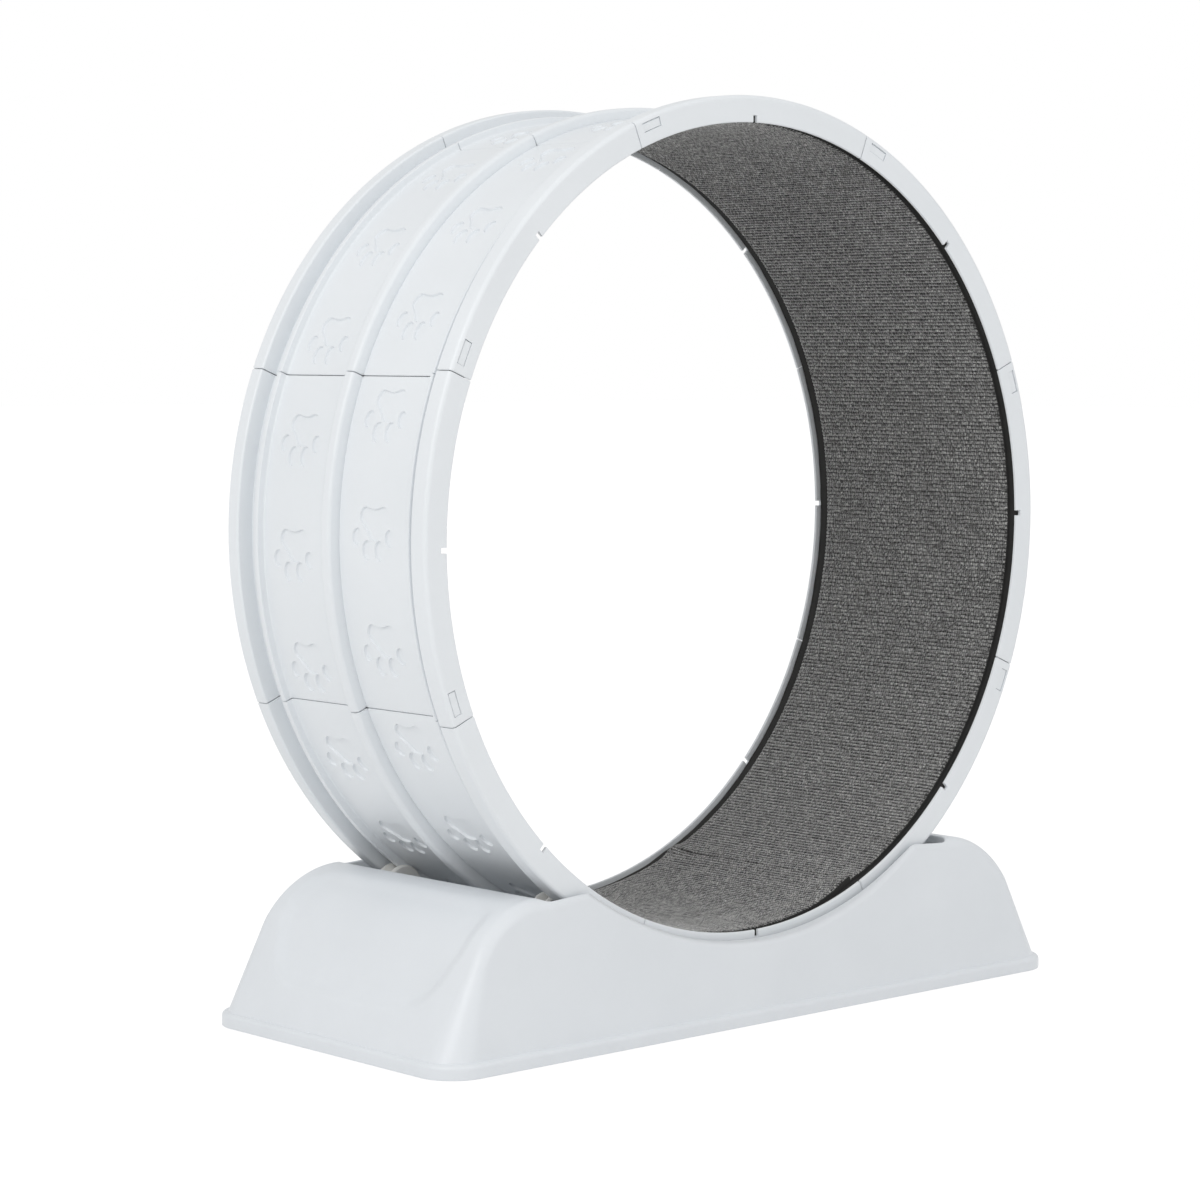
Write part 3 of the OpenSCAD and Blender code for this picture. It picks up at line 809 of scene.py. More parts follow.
# How far the pile lies below the face at each step of a row, and at the edges
row_drops = [1.15, 0.5, 0.05, 0.05, 0.5]
row_drop_more = 0.18
front_insets = [0.0, 0.2, 1.2]
front_drops = [1.1, 0.5, 0.15]
rear_insets = [1.2, 0.2, 0.0]
rear_drops = [0.15, 0.6, 1.4]
middle_inset = 3.0
middle_columns = 19
wander_most = 0.3
tall_most = 0.18
short_most = 0.12

# How the runner stands up, opens and thins at its seam: how much, where it begins, and how far it reaches
seam_turn = -66.76
seam_rise = 1.6
seam_rise_reach = 16.0
rear_kink = 3.5
rear_kink_y = 92.0
rear_kink_w = 25.0
rear_kink_reach = 9.0
front_rise = 4.0
front_rise_y = 98.0
front_rise_w = 24.0
front_rise_reach = 60.0
seam_open = 0.6
seam_open_y = 50.0
seam_open_w = 15.0
seam_shut_y = 108.0
seam_shut_w = 10.0
seam_open_reach = 7.0
end_drop = 0.5
end_drop_reach = 2.5


def seam_lift(turn, most, reach):
    """How far a lining stands up where its ends meet."""
    gap = (turn - seam_turn + 180) % 360 - 180
    return most * math.exp(-((gap / arc_turn(reach, carpet_face_r)) ** 2))


def seam_turns(gap, back_r, steps):
    """Angles once round the wheel, from one side of the seam to the other."""
    gap_turn = arc_turn(gap, back_r)
    return np.linspace(seam_turn + gap_turn, seam_turn + 360 - gap_turn, steps + 1)


def carpet_columns():
    """Places across the runner from its front edge, and how far the pile lies below its face there."""
    middle = np.linspace(carpet_front_y + middle_inset, carpet_rear_y - middle_inset, middle_columns)
    across = np.concatenate([[carpet_front_y + inset for inset in front_insets], middle,
                             [carpet_rear_y - inset for inset in rear_insets]])
    return across, np.concatenate([front_drops, np.zeros(middle_columns), rear_drops])


def make_carpet():
    """The runner: rows of loops across it, soft edges, and a seam that is a little open in one stretch."""
    steps = len(row_drops)
    rows = round(2 * math.pi * carpet_face_r / row_length)
    turns = seam_turns(carpet_gap, carpet_back_r, rows * steps)
    across, edge_drop = carpet_columns()
    opening = [seam_open * ease((y - seam_open_y) / seam_open_w) * ease((seam_shut_y - y) / seam_shut_w)
               for y in across]
    kink = [rear_kink * ease((y - rear_kink_y) / rear_kink_w) for y in across]
    front_up = [front_rise * ease((-y - front_rise_y) / front_rise_w) for y in across]
    sections, grid = [], []
    for i, turn in enumerate(turns):
        step = i % steps
        if step == 0:
            wander = [random.uniform(-wander_most, wander_most) for _ in across]
            tall = np.array([random.uniform(-short_most, tall_most) for _ in across])
        from_start, to_end = turn - turns[0], turns[-1] - turn
        end = min(from_start, to_end)
        starting = 1 if from_start < 180 else -1
        thin = end_drop * max(0.0, 1.0 - end / arc_turn(end_drop_reach, carpet_face_r)) ** 2
        near_end = ease(1 - end / arc_turn(front_rise_reach, carpet_face_r)) if starting < 0 else 0.0
        near_gap = max(0.0, 1.0 - end / arc_turn(seam_open_reach, carpet_face_r))
        sway = math.sin(math.pi * step / steps)
        deep = row_drops[step] + tall + row_drop_more + thin
        rise = seam_lift(turn, seam_rise, seam_rise_reach)
        lift = [rise + seam_lift(turn, up, rear_kink_reach) for up in kink]
        section = []
        for k, y in enumerate(across):
            r = min(carpet_back_r - least_pile, carpet_face_r + edge_drop[k] + deep[k])
            moved = arc_turn(wander[k] * sway + starting * opening[k] * near_gap, carpet_face_r)
            section.append(polar(turn + moved, y, r - (lift[k] + near_end * front_up[k])))
        section += [polar(turn, across[k], carpet_back_r - lift[k]) for k in (-1, 0)]
        sections.append(section)
        grid += [(i / steps, y / loop_width) for y in (*across, across[-1], across[0])]
    shape = Shape()
    shape.sweep(sections)
    piece = make_piece("carpet_runner_pile", shape.points, shape.faces, carpet_loops, "wheel",
                       "carpet_runner", sharp=80.0, weld=False, weigh=False)

    # The back and the edges are foam, and the ends and the face are pile
    mesh = piece.data
    mesh.materials.append(cell_foam)
    columns = len(across)
    backs = (columns - 1, columns, columns + 1)
    round_faces = len(shape.faces) - 2
    backed = [1 if k % (columns + 2) in backs else 0 for k in range(round_faces)] + [0, 0]
    mesh.polygons.foreach_set("material_index", backed)
    layer = mesh.uv_layers.new(name="runner_rows")
    corners = np.zeros(len(mesh.loops), np.int32)
    mesh.loops.foreach_get("vertex_index", corners)
    layer.data.foreach_set("uv", np.array(grid, np.float32)[corners].ravel())


def make_mat():
    """The foam mat: thin, with slightly wavy edges, and raised a little at the carpet's seam."""
    sections = []
    for turn in seam_turns(mat_gap, mat_back_r, mat_steps):
        wave = mat_wave * math.sin(math.radians(turn * mat_waves))
        wave += mat_fine_wave * math.sin(math.radians(turn * mat_fine_waves + mat_fine_phase))
        lift = seam_lift(turn, seam_rise, seam_rise_reach)
        half = mat_half_w + wave - mat_edge
        face = mat_face_r - lift
        back = mat_back_r - lift
        section = [(-half, back), (-half, face + mat_edge), (-half + mat_edge_in, face),
                   (half - mat_edge_in, face), (half, face + mat_edge), (half, back)]
        sections.append([polar(turn, y, r) for y, r in section])
    shape = Shape()
    shape.sweep(sections)
    piece = make_piece("foam_mat_strip", shape.points, shape.faces, cell_foam, "wheel", "foam_mat",
                       weld=False)


make_segments()
make_mat()
make_carpet()


# Base shell, its sizes

base_wall = 3.0
skirt_h = 14.0
skirt_out = 6.0
end_lean = 28.3
shoulder_r = 89.0
shoulder_x = 268.32
shoulder_z = base_h - shoulder_r
wall_half_l = base_half_l - skirt_out
wall_half_w = base_half_w - skirt_out
land_half_w = 145.0
side_draft = (wall_half_w - land_half_w) / (base_h - skirt_h)
side_cos = math.cos(math.atan(side_draft))
end_slope = math.tan(math.radians(end_lean))
end_cos = math.cos(math.radians(end_lean))
slope_top_z = shoulder_z + shoulder_r * math.sin(math.radians(end_lean))

# Well for the wheel, with its shelf and trough
well_half_l = 268.0
well_half_w = 141.0
well_corner_r = 12.0
lip_round = 1.6
cove = 3.0
cove_middle = 0.9
shelf_h = 82.065
trough_r = wheel_r + 10.0

# Saddles in the long walls, with a bend from the top into each
saddle_r = 374.0
saddle_round = 10.0
saddle_bend_z = base_h - saddle_round
saddle_bend_x = math.sqrt((saddle_r + saddle_round) ** 2 - (wheel_z - saddle_bend_z) ** 2)
saddle_bend_turn = math.degrees(math.asin(saddle_bend_x / (saddle_r + saddle_round)))

# Rounding between the ends and the long walls, and how it changes beside the saddles
corner_foot_round = 30.0
corner_top_round = 11.0
saddle_edge_round = 5.5
saddle_edge_x = 205.0
saddle_edge_w = 55.0

# Dished panel in each end. It widens up to a share of its reach, and gets shallower from there up
dish_depth = 7.0
dish_foot_z = 44.0
dish_foot_half_w = 104.0
dish_top_half_w = 130.0
dish_reach = 128.0
dish_corner = 34.0
dish_slope_w = 50.0
dish_edge_w = 17.0
dish_edge_share = 0.6
dish_widest_share = 0.5
dish_top_share = 0.45
dish_fade_share = 0.62

# Stations of the shell's mesh
across_steps = 18
across_shares = list(np.linspace(0, 0.55, 10)) + list(np.linspace(0.55, 1, 22)[1:])
side_stations = 65
phi_steps = np.linspace(0, 90, 37)
slope_count = 27
shoulder_count = 31
land_count = 10
bend_count = 7
saddle_end_count = 9
saddle_count = 31
well_corner_turns = (72, 54, 36, 18, 0)
lip_turns = (25, 50, 72, 90)


# Outlines of the base shell

def side_y(z):
    """Half width of the long walls at a height."""
    return wall_half_w - (z - skirt_h) * side_draft


def slope_x(z):
    """Half length of the straight end walls at a height."""
    return wall_half_l - (z - skirt_h) * end_slope


def on_slope(z):
    """A point of the lengthwise outline on the straight end wall, as (x, z, normal x, normal z)."""
    a = math.radians(end_lean)
    return (slope_x(z), z, math.cos(a), math.sin(a))


def on_arc(centre_x, centre_z, r, turn):
    a = math.radians(turn)
    return (centre_x + r * math.cos(a), centre_z + r * math.sin(a), math.cos(a), math.sin(a))


def on_shoulder(turn):
    return on_arc(shoulder_x, shoulder_z, shoulder_r, turn)


def on_top(x):
    if x < shoulder_x:
        return (x, base_h, 0.0, 1.0)
    return on_shoulder(math.degrees(math.acos((x - shoulder_x) / shoulder_r)))


def on_saddle(x):
    z = arc_z(saddle_r, x)
    return (x, z, -x / saddle_r, (wheel_z - z) / saddle_r)


def on_saddle_bend(turn):
    return on_arc(saddle_bend_x, saddle_bend_z, saddle_round, 90 + turn)


def corner_round(x, z):
    """Radius of the rounding between the lengthwise outline and a long wall."""
    if abs(x) > shoulder_x:
        up = min(1.0, (z - skirt_h) / (slope_top_z - skirt_h))
        return corner_foot_round + (corner_top_round - corner_foot_round) * up
    past = ease((abs(x) - saddle_edge_x) / saddle_edge_w)
    return saddle_edge_round + (corner_top_round - saddle_edge_round) * past


def rounded_point(outline_point, phi):
    """A point of the rounding: phi is 0 on the lengthwise outline and 90 on the long wall."""
    x, z, nx, nz = outline_point
    radius = corner_round(x, z)
    a = math.radians(phi)
    deep = radius * (1 - math.cos(a))
    px, pz = x - nx * deep, z - nz * deep
    return (px, side_y(pz) - radius * (1 - math.sin(a)) / side_cos, pz)


def foot_start_z(phi):
    """Height on the end wall from which the rounding at phi comes down to the skirt."""
    z = skirt_h
    for _ in range(12):
        x, z_now, nx, nz = on_slope(z)
        z = skirt_h + nz * corner_round(x, z_now) * (1 - math.cos(math.radians(phi)))
    return z


foot_starts = [foot_start_z(phi) for phi in phi_steps]


def cross_row(outline_point, y_start, on_end_wall):
    """Points from y_start out over the rounding to the long wall, evenly spaced."""
    path = []
    for phi, foot_start in zip(phi_steps, foot_starts):
        point = outline_point
        if on_end_wall:
            z = outline_point[1]
            share = 1 - (z - skirt_h) / (slope_top_z - skirt_h)
            point = on_slope(z + (foot_start - skirt_h) * share)
        path.append(rounded_point(point, phi))
    path = np.array(path)
    if path[0][1] > y_start:
        first = np.array([[outline_point[0], y_start, outline_point[1]]])
        path = np.concatenate([first, path])
    else:
        k = int(np.argmax(path[:, 1] > y_start))
        share = (y_start - path[k - 1][1]) / (path[k][1] - path[k - 1][1])
        path = np.concatenate([[path[k - 1] + share * (path[k] - path[k - 1])], path[k:]])
    return even_points(path, across_steps + 1)


def end_distance(z):
    """Distance up an end of the base from the skirt, from a height on it."""
    if z < slope_top_z:
        return (z - skirt_h) / end_cos
    straight = (slope_top_z - skirt_h) / end_cos
    a = math.asin(min(1.0, (z - shoulder_z) / shoulder_r))
    return straight + shoulder_r * (a - math.radians(end_lean))


def dish_sink(z, y):
    """Depth of an end's dished panel, from the height on the end and the place across."""
    up = end_distance(z) - (dish_foot_z - skirt_h) / end_cos
    widening = within_one(up / (dish_widest_share * dish_reach))
    half = dish_foot_half_w + (dish_top_half_w - dish_foot_half_w) * widening
    dy = abs(y) - (half - dish_corner)
    dz = abs(up - dish_reach / 2) - (dish_reach / 2 - dish_corner)
    outside = math.hypot(max(dy, 0.0), max(dz, 0.0)) + min(max(dy, dz), 0.0) - dish_corner
    edge = ease(-outside / dish_edge_w)
    slope = 1 - (1 - within_one(-outside / dish_slope_w)) ** 2
    bowl = dish_edge_share * edge + (1 - dish_edge_share) * slope
    fade = 1 - ease((up - dish_widest_share * dish_reach) / (dish_fade_share * dish_reach))
    return dish_depth * bowl * (dish_top_share + (1 - dish_top_share) * fade)


def end_rows():
    """Outline points of an end from the skirt to the well, and whether each is on the straight wall."""
    rows = [(on_slope(z), True) for z in np.linspace(skirt_h, slope_top_z, slope_count)]
    last = math.degrees(math.acos((well_half_l + lip_round - shoulder_x) / shoulder_r))
    return rows + [(on_shoulder(turn), False) for turn in np.linspace(end_lean, last, shoulder_count)[1:]]


def top_rows():
    """Outline points over the long wall, from the well's corner to the middle of the saddle."""
    corner_x = well_half_l - well_corner_r
    xs = [corner_x + (well_corner_r + lip_round) * math.sin(math.radians(b)) for b in well_corner_turns]
    xs += list(np.linspace(corner_x, saddle_bend_x, land_count)[1:])
    rows = [on_top(x) for x in xs]
    rows += [on_saddle_bend(turn) for turn in np.linspace(0, saddle_bend_turn, bend_count)[1:]]
    trough_edge_x = math.sqrt(trough_r ** 2 - (wheel_z - shelf_h) ** 2)
    rows += [on_saddle(x) for x in np.linspace(rows[-1][0], trough_edge_x, saddle_end_count)[1:]]
    rows += [on_saddle(x) for x in np.linspace(trough_edge_x, 0, saddle_count)[1:]]
    return rows


def well_edge_y(x):
    """Where the top begins beside the well at x."""
    past = x - (well_half_l - well_corner_r)
    if past <= 0:
        return well_half_w + lip_round
    return well_half_w - well_corner_r + math.sqrt(max(0.0, (well_corner_r + lip_round) ** 2 - past ** 2))


# Loops round the base

def all_round(quarters, sides=None):
    """One loop from four quarters, which run from an end's middle to a long wall, and two sides."""
    loop = list(quarters[1, 1])
    if sides:
        loop += sides[1]
    loop += quarters[-1, 1][::-1]
    loop += quarters[-1, -1][1:]
    if sides:
        loop += sides[-1][::-1]
    loop += quarters[1, -1][:0:-1]
    return [k for i, k in enumerate(loop) if i == 0 or k != loop[i - 1]]


def strips_across(loop, first, half):
    """Faces across a loop that is the same on both sides of its middle, with one face at each end."""
    n = len(loop)
    strips = [(loop[k], loop[k + 1], loop[-(k + 1) % n], loop[-k % n]) for k in range(first, half - first)]
    right = tuple(loop[k] for k in range(-first, first + 1))
    left = tuple(loop[k] for k in range(half - first, half + first + 1))
    return strips + [right, left]


def moved_ring(shape, ring, normals, out, heights):
    """A ring of new points, moved out along the normals of a ring of points."""
    return shape.ring((p[0] + n[0] * out, p[1] + n[1] * out, z) for p, n, z in zip(ring, normals, heights))


# Parts of the base shell

def shell_quarter(shape, sx, sy, middle):
    """A quarter of the outer skin. Returns its foot, its edge on the long wall, its edge at the well and
    its row at the middle of the long wall, which the next quarter shares and is given as middle."""
    ends = end_rows()
    corner_y = well_half_w - well_corner_r

    def rounding_y(outline_point):
        """Half width at which the rounding begins."""
        x, z = outline_point[:2]
        return side_y(z) - corner_round(x, z) / side_cos

    widest = rounding_y(ends[-1][0])
    rows = []
    for outline_point, straight in ends:
        inner = corner_y * rounding_y(outline_point) / widest
        x, z, nx, nz = outline_point
        flat = [np.array([x, inner * share, z]) for share in across_shares[:-1]]
        row = []
        for p in flat + list(cross_row(outline_point, inner, straight)):
            sink = dish_sink(p[2], p[1])
            row.append(shape.put((sx * (p[0] - nx * sink), sy * p[1], p[2] - nz * sink)))
        rows.append(row)
    shape.faces += quads(rows)
    over = [rows[-1][len(across_shares) - 1:]]
    for outline_point in top_rows():
        if outline_point[0] == 0 and middle:
            over.append(middle)
            continue
        row = cross_row(outline_point, well_edge_y(outline_point[0]), False)
        over.append(shape.ring((sx * p[0], sy * p[1], p[2]) for p in row))
    shape.faces += quads(over)
    wall_edge = [row[-1] for row in rows + over[1:]]
    well_edge = rows[-1][:len(across_shares)] + [row[0] for row in over[1:]]
    return rows[0], wall_edge, well_edge, over[-1]


fill_xs = np.arange(-330, 331, 13.0)
fill_zs = np.arange(24, 132, 11.0)
fill_clear = 7.0


def fill_long_wall(shape, sy, right_edge, left_edge, foot):
    """The flat part of a long wall, between the roundings and the skirt."""
    loop = right_edge + left_edge[-2::-1] + foot[::-1]
    border = np.array([(shape.points[k][0], shape.points[k][2]) for k in loop])
    fill = []
    for x in fill_xs:
        for z in fill_zs:
            p = np.array([[x, z]])
            if inside(p, border)[0] and np.min(np.linalg.norm(border - p, axis=1)) > fill_clear:
                fill.append((x, z))
    count = len(border)
    edges = [(k, (k + 1) % count) for k in range(count)]
    corners = [Vector(p) for p in border.tolist() + fill]
    verts, _, triangles, came_from, _, _ = delaunay_2d_cdt(corners, edges, [], 1, 1e-5)
    numbers = []
    for v, source in zip(verts, came_from):
        known = source and source[0] < count
        numbers.append(loop[source[0]] if known else shape.put((v.x, sy * side_y(v.y), v.y)))
    shape.faces += [tuple(numbers[k] for k in f) for f in triangles]


# The skirt's section: how its top falls off from the wall as (out, down), its bead, and how its foot is
# rounded as (in from the outside, up)
skirt_falls = ((0.4, 0.15), (1.1, 0.3))
skirt_bead = 4.2
bead_turns = (0, 18, 36, 54, 72, 90)
skirt_foot_rounds = ((0.0, 0.6), (0.15, 0.2), (0.5, 0.0))
skirt_inner = 1.0


def add_skirt(shape, foot_loop):
    """The skirt, rounded like a bead. Returns its lowest, inner ring."""
    foot = np.array([shape.points[k] for k in foot_loop])
    outward = outward_normals(foot[:, :2])
    bead_out = skirt_out - skirt_bead
    bead_z = skirt_h - skirt_falls[-1][1] - skirt_bead
    section = [(out, skirt_h - down) for out, down in skirt_falls]
    section += [(bead_out + skirt_bead * math.sin(a), bead_z + skirt_bead * math.cos(a))
                for a in np.radians(bead_turns)]
    section += [(skirt_out - inwards, foot_proud + up) for inwards, up in skirt_foot_rounds]
    section.append((-skirt_inner, foot_proud))
    rings = [foot_loop]
    rings += [moved_ring(shape, foot, outward, out, [z] * len(foot)) for out, z in section]
    shape.faces += quads(rings, closed=True)
    return rings[-1]


hollow_top = 117.0
hollow_levels = (skirt_h, 38.0, 46.0, 54.0, 62.0, 70.0, 95.0, hollow_top)
hollow_corner_r = 31.0
inner_dish_share = 1.15


def inner_cap(x):
    """Height up to which the shell is hollow beside the well."""
    return min(arc_z(saddle_r, x) - base_wall, hollow_top)


def floor_z(x):
    """Height of the well's floor."""
    return min(shelf_h, arc_z(trough_r, x))


def under_floor(x):
    """Underside of the well's floor."""
    return min(shelf_h - base_wall, arc_z(trough_r + base_wall, x))


def inner_ring(half_l, half_w, radius, height, leaning=False):
    """A closed loop of places with the same stations as the foot: ends, corners and long sides.

    A leaning loop follows the long walls and the dished panels."""
    quarter = [(half_l, (half_w - radius) * share) for share in across_shares]
    for k in range(1, across_steps + 1):
        a = math.pi / 2 * k / across_steps
        quarter.append((half_l - radius + radius * math.cos(a), half_w - radius + radius * math.sin(a)))
    end_z = height(half_l)
    quarters, sides = {}, {}
    for sx in (1, -1):
        for sy in (1, -1):
            quarters[sx, sy] = [
                (sx * (x - inner_dish_share * dish_sink(end_z, y) if leaning else x), sy * y, end_z)
                for x, y in quarter]
    for sy in (1, -1):
        sides[sy] = []
        for k in range(1, side_stations + 1):
            x = (half_l - radius) * (1 - 2 * k / (side_stations + 1))
            z = height(x)
            sides[sy].append((x, sy * (side_y(z) - base_wall / side_cos if leaning else half_w), z))
    return all_round(quarters, sides)


def add_hollow(shape, skirt_ring):
    """The hollow underside, up beside the well and under its floor."""
    rings = [skirt_ring]
    for z in hollow_levels:
        share = (z - skirt_h) / (hollow_top - skirt_h)
        half_l = slope_x(z) - base_wall / end_cos
        if z > slope_top_z:
            half_l = shoulder_x + math.sqrt((shoulder_r - base_wall) ** 2 - (z - shoulder_z) ** 2)
        places = inner_ring(half_l, side_y(z) - base_wall / side_cos, hollow_corner_r,
                            lambda x: skirt_h + share * (inner_cap(x) - skirt_h), leaning=True)
        rings.append(shape.ring(places))
    well_size = (well_half_l + base_wall, well_half_w + base_wall, well_corner_r + base_wall)
    for height in (inner_cap, under_floor):
        rings.append(shape.ring(inner_ring(*well_size, height)))
    shape.faces += quads(rings, closed=True)
    corner_count = len(across_shares) + across_steps
    half = 2 * corner_count + side_stations - 1
    shape.faces += strips_across(rings[-1], corner_count, half)


def add_well(shape, rim_loop, quarter_last):
    """Lip, walls and floor of the well."""
    rim = np.array([shape.points[k] for k in rim_loop])
    limit = np.array([well_half_l - well_corner_r, well_half_w - well_corner_r])
    away = rim[:, :2] - np.clip(rim[:, :2], -limit, limit)
    away /= np.linalg.norm(away, axis=1, keepdims=True)
    floor = np.array([floor_z(x) for x in rim[:, 0]])
    rings = [rim_loop]
    for a in np.radians(lip_turns):
        heights = rim[:, 2] - lip_round * (1 - math.cos(a))
        rings.append(moved_ring(shape, rim, away, -lip_round * math.sin(a), heights))
    for inwards, up in ((0.0, cove), (cove_middle, cove_middle), (cove, 0.0)):
        rings.append(moved_ring(shape, rim, away, -(lip_round + inwards), floor + up))
    shape.faces += quads(rings, closed=True)
    corner_count = len(across_shares) + len(well_corner_turns) - 1
    shape.faces += strips_across(rings[-1], corner_count, 2 * quarter_last)


# Ribs and foot pads under the shell
rib_half = 1.25
rib_foot_z = 10.0
rib_into_floor = 1.5
cross_rib_in = 2.0
long_rib_foot_in = 3.5
long_rib_bend_z = 88.0
long_rib_bend_in = 7.0
long_rib_top_x = 305.0
long_rib_well_x = well_half_l + 4.0
long_rib_shelf_x = well_half_l + 2.0
trough_rib_x = 180.0
pad_x = 333.0
pad_y = 140.0
pad_r = 15.0
pad_top = 7.0
pad_hole_r = 12.1
pad_hole_top = 4.0
pad_core_r = 0.02
pad_rib_reach = 13.5
pad_rib_foot = 6.0
pad_rib_top = 40.0
pad_steps = 32
trough_rib_count = 31


def add_ribs(shape):
    for x in (-roller_x, 0.0, roller_x):
        top = under_floor(x) + rib_into_floor
        low_y, high_y = side_y(rib_foot_z) - cross_rib_in, side_y(top) - cross_rib_in
        section = [(-low_y, rib_foot_z), (low_y, rib_foot_z), (high_y, top), (-high_y, top)]
        shape.sweep([[(x + side * rib_half, y, z) for y, z in section] for side in (-1, 1)])
    right = [(slope_x(rib_foot_z) - long_rib_foot_in, rib_foot_z),
             (slope_x(long_rib_bend_z) - long_rib_bend_in, long_rib_bend_z),
             (long_rib_top_x, hollow_top), (long_rib_well_x, hollow_top),
             (long_rib_shelf_x, shelf_h - rib_into_floor)]
    left = [(-x, z) for x, z in reversed(right)]
    trough = [(x, under_floor(x) + rib_into_floor)
              for x in np.linspace(trough_rib_x, -trough_rib_x, trough_rib_count)]
    outline = left[-1:] + right + trough + left[:-1]
    for y in (-roller_y, roller_y):
        shape.sweep([[(x, y + side * rib_half, z) for x, z in outline] for side in (-1, 1)])


def add_foot_pads(shape):
    """A round pad over each rubber foot, with a short rib up from it."""
    section = [(pad_core_r, pad_top), (pad_r, pad_top), (pad_r, foot_proud), (pad_hole_r, foot_proud),
               (pad_hole_r, pad_hole_top), (pad_core_r, pad_hole_top)]
    corners = [(-pad_rib_reach, -rib_half), (pad_rib_reach, -rib_half),
               (pad_rib_reach, rib_half), (-pad_rib_reach, rib_half)]
    angles = [2 * math.pi * k / pad_steps for k in range(pad_steps)]
    for x in (-pad_x, 0.0, pad_x):
        for y in (-pad_y, pad_y):
            shape.sweep([[(x + r * math.cos(a), y + r * math.sin(a), z) for r, z in section]
                         for a in angles], joined=True)
            shape.sweep([[(x + dx, y + dy, z) for dx, dy in corners] for z in (pad_rib_foot, pad_rib_top)])


def make_base():
    shape = Shape()
    foot_edges, wall_edges, well_edges, middle = {}, {}, {}, {}
    for sx in (1, -1):
        for sy in (1, -1):
            foot_edges[sx, sy], wall_edges[sx, sy], well_edges[sx, sy], middle[sy] = shell_quarter(
                shape, sx, sy, middle.get(sy))
    foot_sides = {}
    for sy in (1, -1):
        start_x = shape.points[wall_edges[1, sy][0]][0]
        xs = [start_x * (1 - 2 * k / (side_stations + 1)) for k in range(1, side_stations + 1)]
        foot_sides[sy] = shape.ring((x, sy * side_y(skirt_h), skirt_h) for x in xs)
        fill_long_wall(shape, sy, wall_edges[1, sy], wall_edges[-1, sy], foot_sides[sy])
    skirt_ring = add_skirt(shape, all_round(foot_edges, foot_sides))
    add_hollow(shape, skirt_ring)
    add_well(shape, all_round(well_edges), len(well_edges[1, 1]) - 1)
    add_ribs(shape)
    add_foot_pads(shape)
    make_piece("base_shell_moulding", shape.points, shape.faces, shell_plastic, "base",
               "base_shell", sharp=38.0)


make_base()


# Materials of the pieces that keep their CAD shape

def dress(node, material):
    slots = bpy.data.objects[node].data.materials
    slots.clear()
    slots.append(material)


dress("rubber_feet", foot_rubber)
dress("roller_brackets", bracket_plastic)
dress("roller_axles", axle_steel)
dress("axle_clips", spring_steel)
dress("bracket_screws", screw_steel)
dress("bearing_spacers", spacer_plastic)
for place_name in ("front_left", "front_right", "rear_left", "rear_right"):
    dress(f"bearing_{place_name}", bearing_steel)
    dress(f"roller_{place_name}", roller_plastic)


# Camera, floor and lights, in metres

camera_place = (-2.10526, -2.18783, 0.60426)
camera_forward = (0.67982, 0.72953, -0.07500)
camera_up = (0.04822, 0.05759, 0.99718)
camera_lens = 96.885
floor_reach = 30.0
lamp_target = (0.0, 0.0, 0.4)
white_colour = (1.0, 1.0, 1.0, 1.0)


def make_camera():
    forward = Vector(camera_forward).normalized()
    right = forward.cross(Vector(camera_up)).normalized()
    up = right.cross(forward)
    data = bpy.data.cameras.new("camera")
    data.lens = camera_lens
    data.sensor_width = 36.0
    data.clip_start = 0.05
    data.clip_end = 60.0
    camera = link(bpy.data.objects.new("camera", data))
    turn = Matrix((right, up, -forward)).transposed().to_4x4()
    camera.matrix_world = Matrix.Translation(camera_place) @ turn
    bpy.context.scene.camera = camera


def blended(tree, share, first, second):
    return add_node(tree, "ShaderNodeMixShader", {0: share, 1: first.outputs[0], 2: second.outputs[0]})


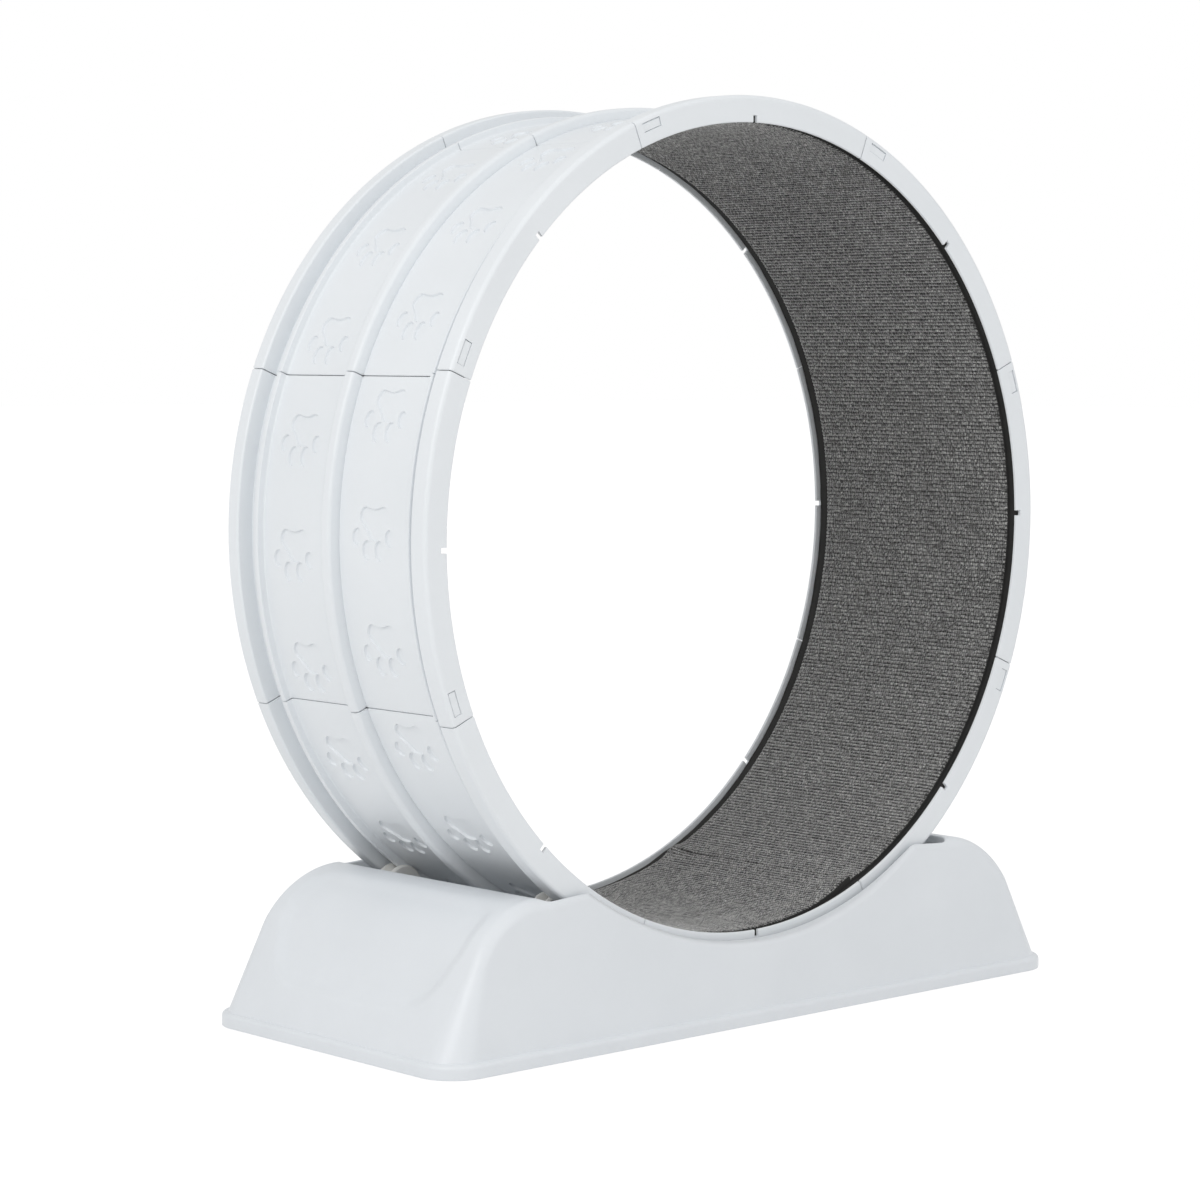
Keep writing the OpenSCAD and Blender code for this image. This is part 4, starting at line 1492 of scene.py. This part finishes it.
def make_floor():
    """A wide pale floor that reads as white and keeps a soft shadow."""
    material, tree = blank_material("studio_floor")
    path = add_node(tree, "ShaderNodeLightPath").outputs
    seen = maths(tree, "MAXIMUM", path["Is Camera Ray"], path["Is Glossy Ray"])
    colour = mixed(tree, noise(tree, object_place(tree), scale=1.5), (0.9, 0.9, 0.9), (0.88, 0.88, 0.88))
    diffuse = add_node(tree, "ShaderNodeBsdfDiffuse", {"Color": colour, "Roughness": 0.5})
    white = add_node(tree, "ShaderNodeEmission", {"Color": white_colour, "Strength": 1.2})
    show_surface(tree, blended(tree, maths(tree, "MULTIPLY", seen, 0.8), diffuse, white))
    mesh = bpy.data.meshes.new("studio_floor")
    corners = [(-floor_reach, -floor_reach, 0), (floor_reach, -floor_reach, 0),
               (floor_reach, floor_reach, 0), (-floor_reach, floor_reach, 0)]
    mesh.from_pydata(corners, [], [(0, 1, 2, 3)])
    mesh.materials.append(material)
    link(bpy.data.objects.new("studio_floor", mesh))


def make_world():
    """Soft even light, and white where the camera sees past the floor."""
    world = bpy.data.worlds.new("studio_world")
    bpy.context.scene.world = world
    world.use_nodes = True
    tree = world.node_tree
    tree.nodes.clear()
    path = add_node(tree, "ShaderNodeLightPath").outputs
    seen = maths(tree, "MAXIMUM", path["Is Camera Ray"], path["Is Transmission Ray"])
    soft = add_node(tree, "ShaderNodeBackground", {"Color": white_colour, "Strength": 0.70})
    white = add_node(tree, "ShaderNodeBackground", {"Color": white_colour, "Strength": 1.0})
    show_surface(tree, blended(tree, seen, soft, white), "ShaderNodeOutputWorld")


def add_lamp(name, place, width, power):
    data = bpy.data.lights.new(name, "AREA")
    data.shape = "RECTANGLE"
    data.size = width
    data.size_y = width
    data.energy = power
    lamp = link(bpy.data.objects.new(name, data))
    lamp.location = place
    lamp.rotation_mode = "QUATERNION"
    lamp.rotation_quaternion = (Vector(lamp_target) - Vector(place)).to_track_quat("-Z", "Y")


make_camera()
make_floor()
make_world()
add_lamp("key_softbox", (-2.9, -1.1, 2.3), width=1.8, power=30.0)
add_lamp("front_softbox", (0.4, -2.8, 2.6), width=2.4, power=14.0)
bpy.context.scene.view_settings.view_transform = "Standard"
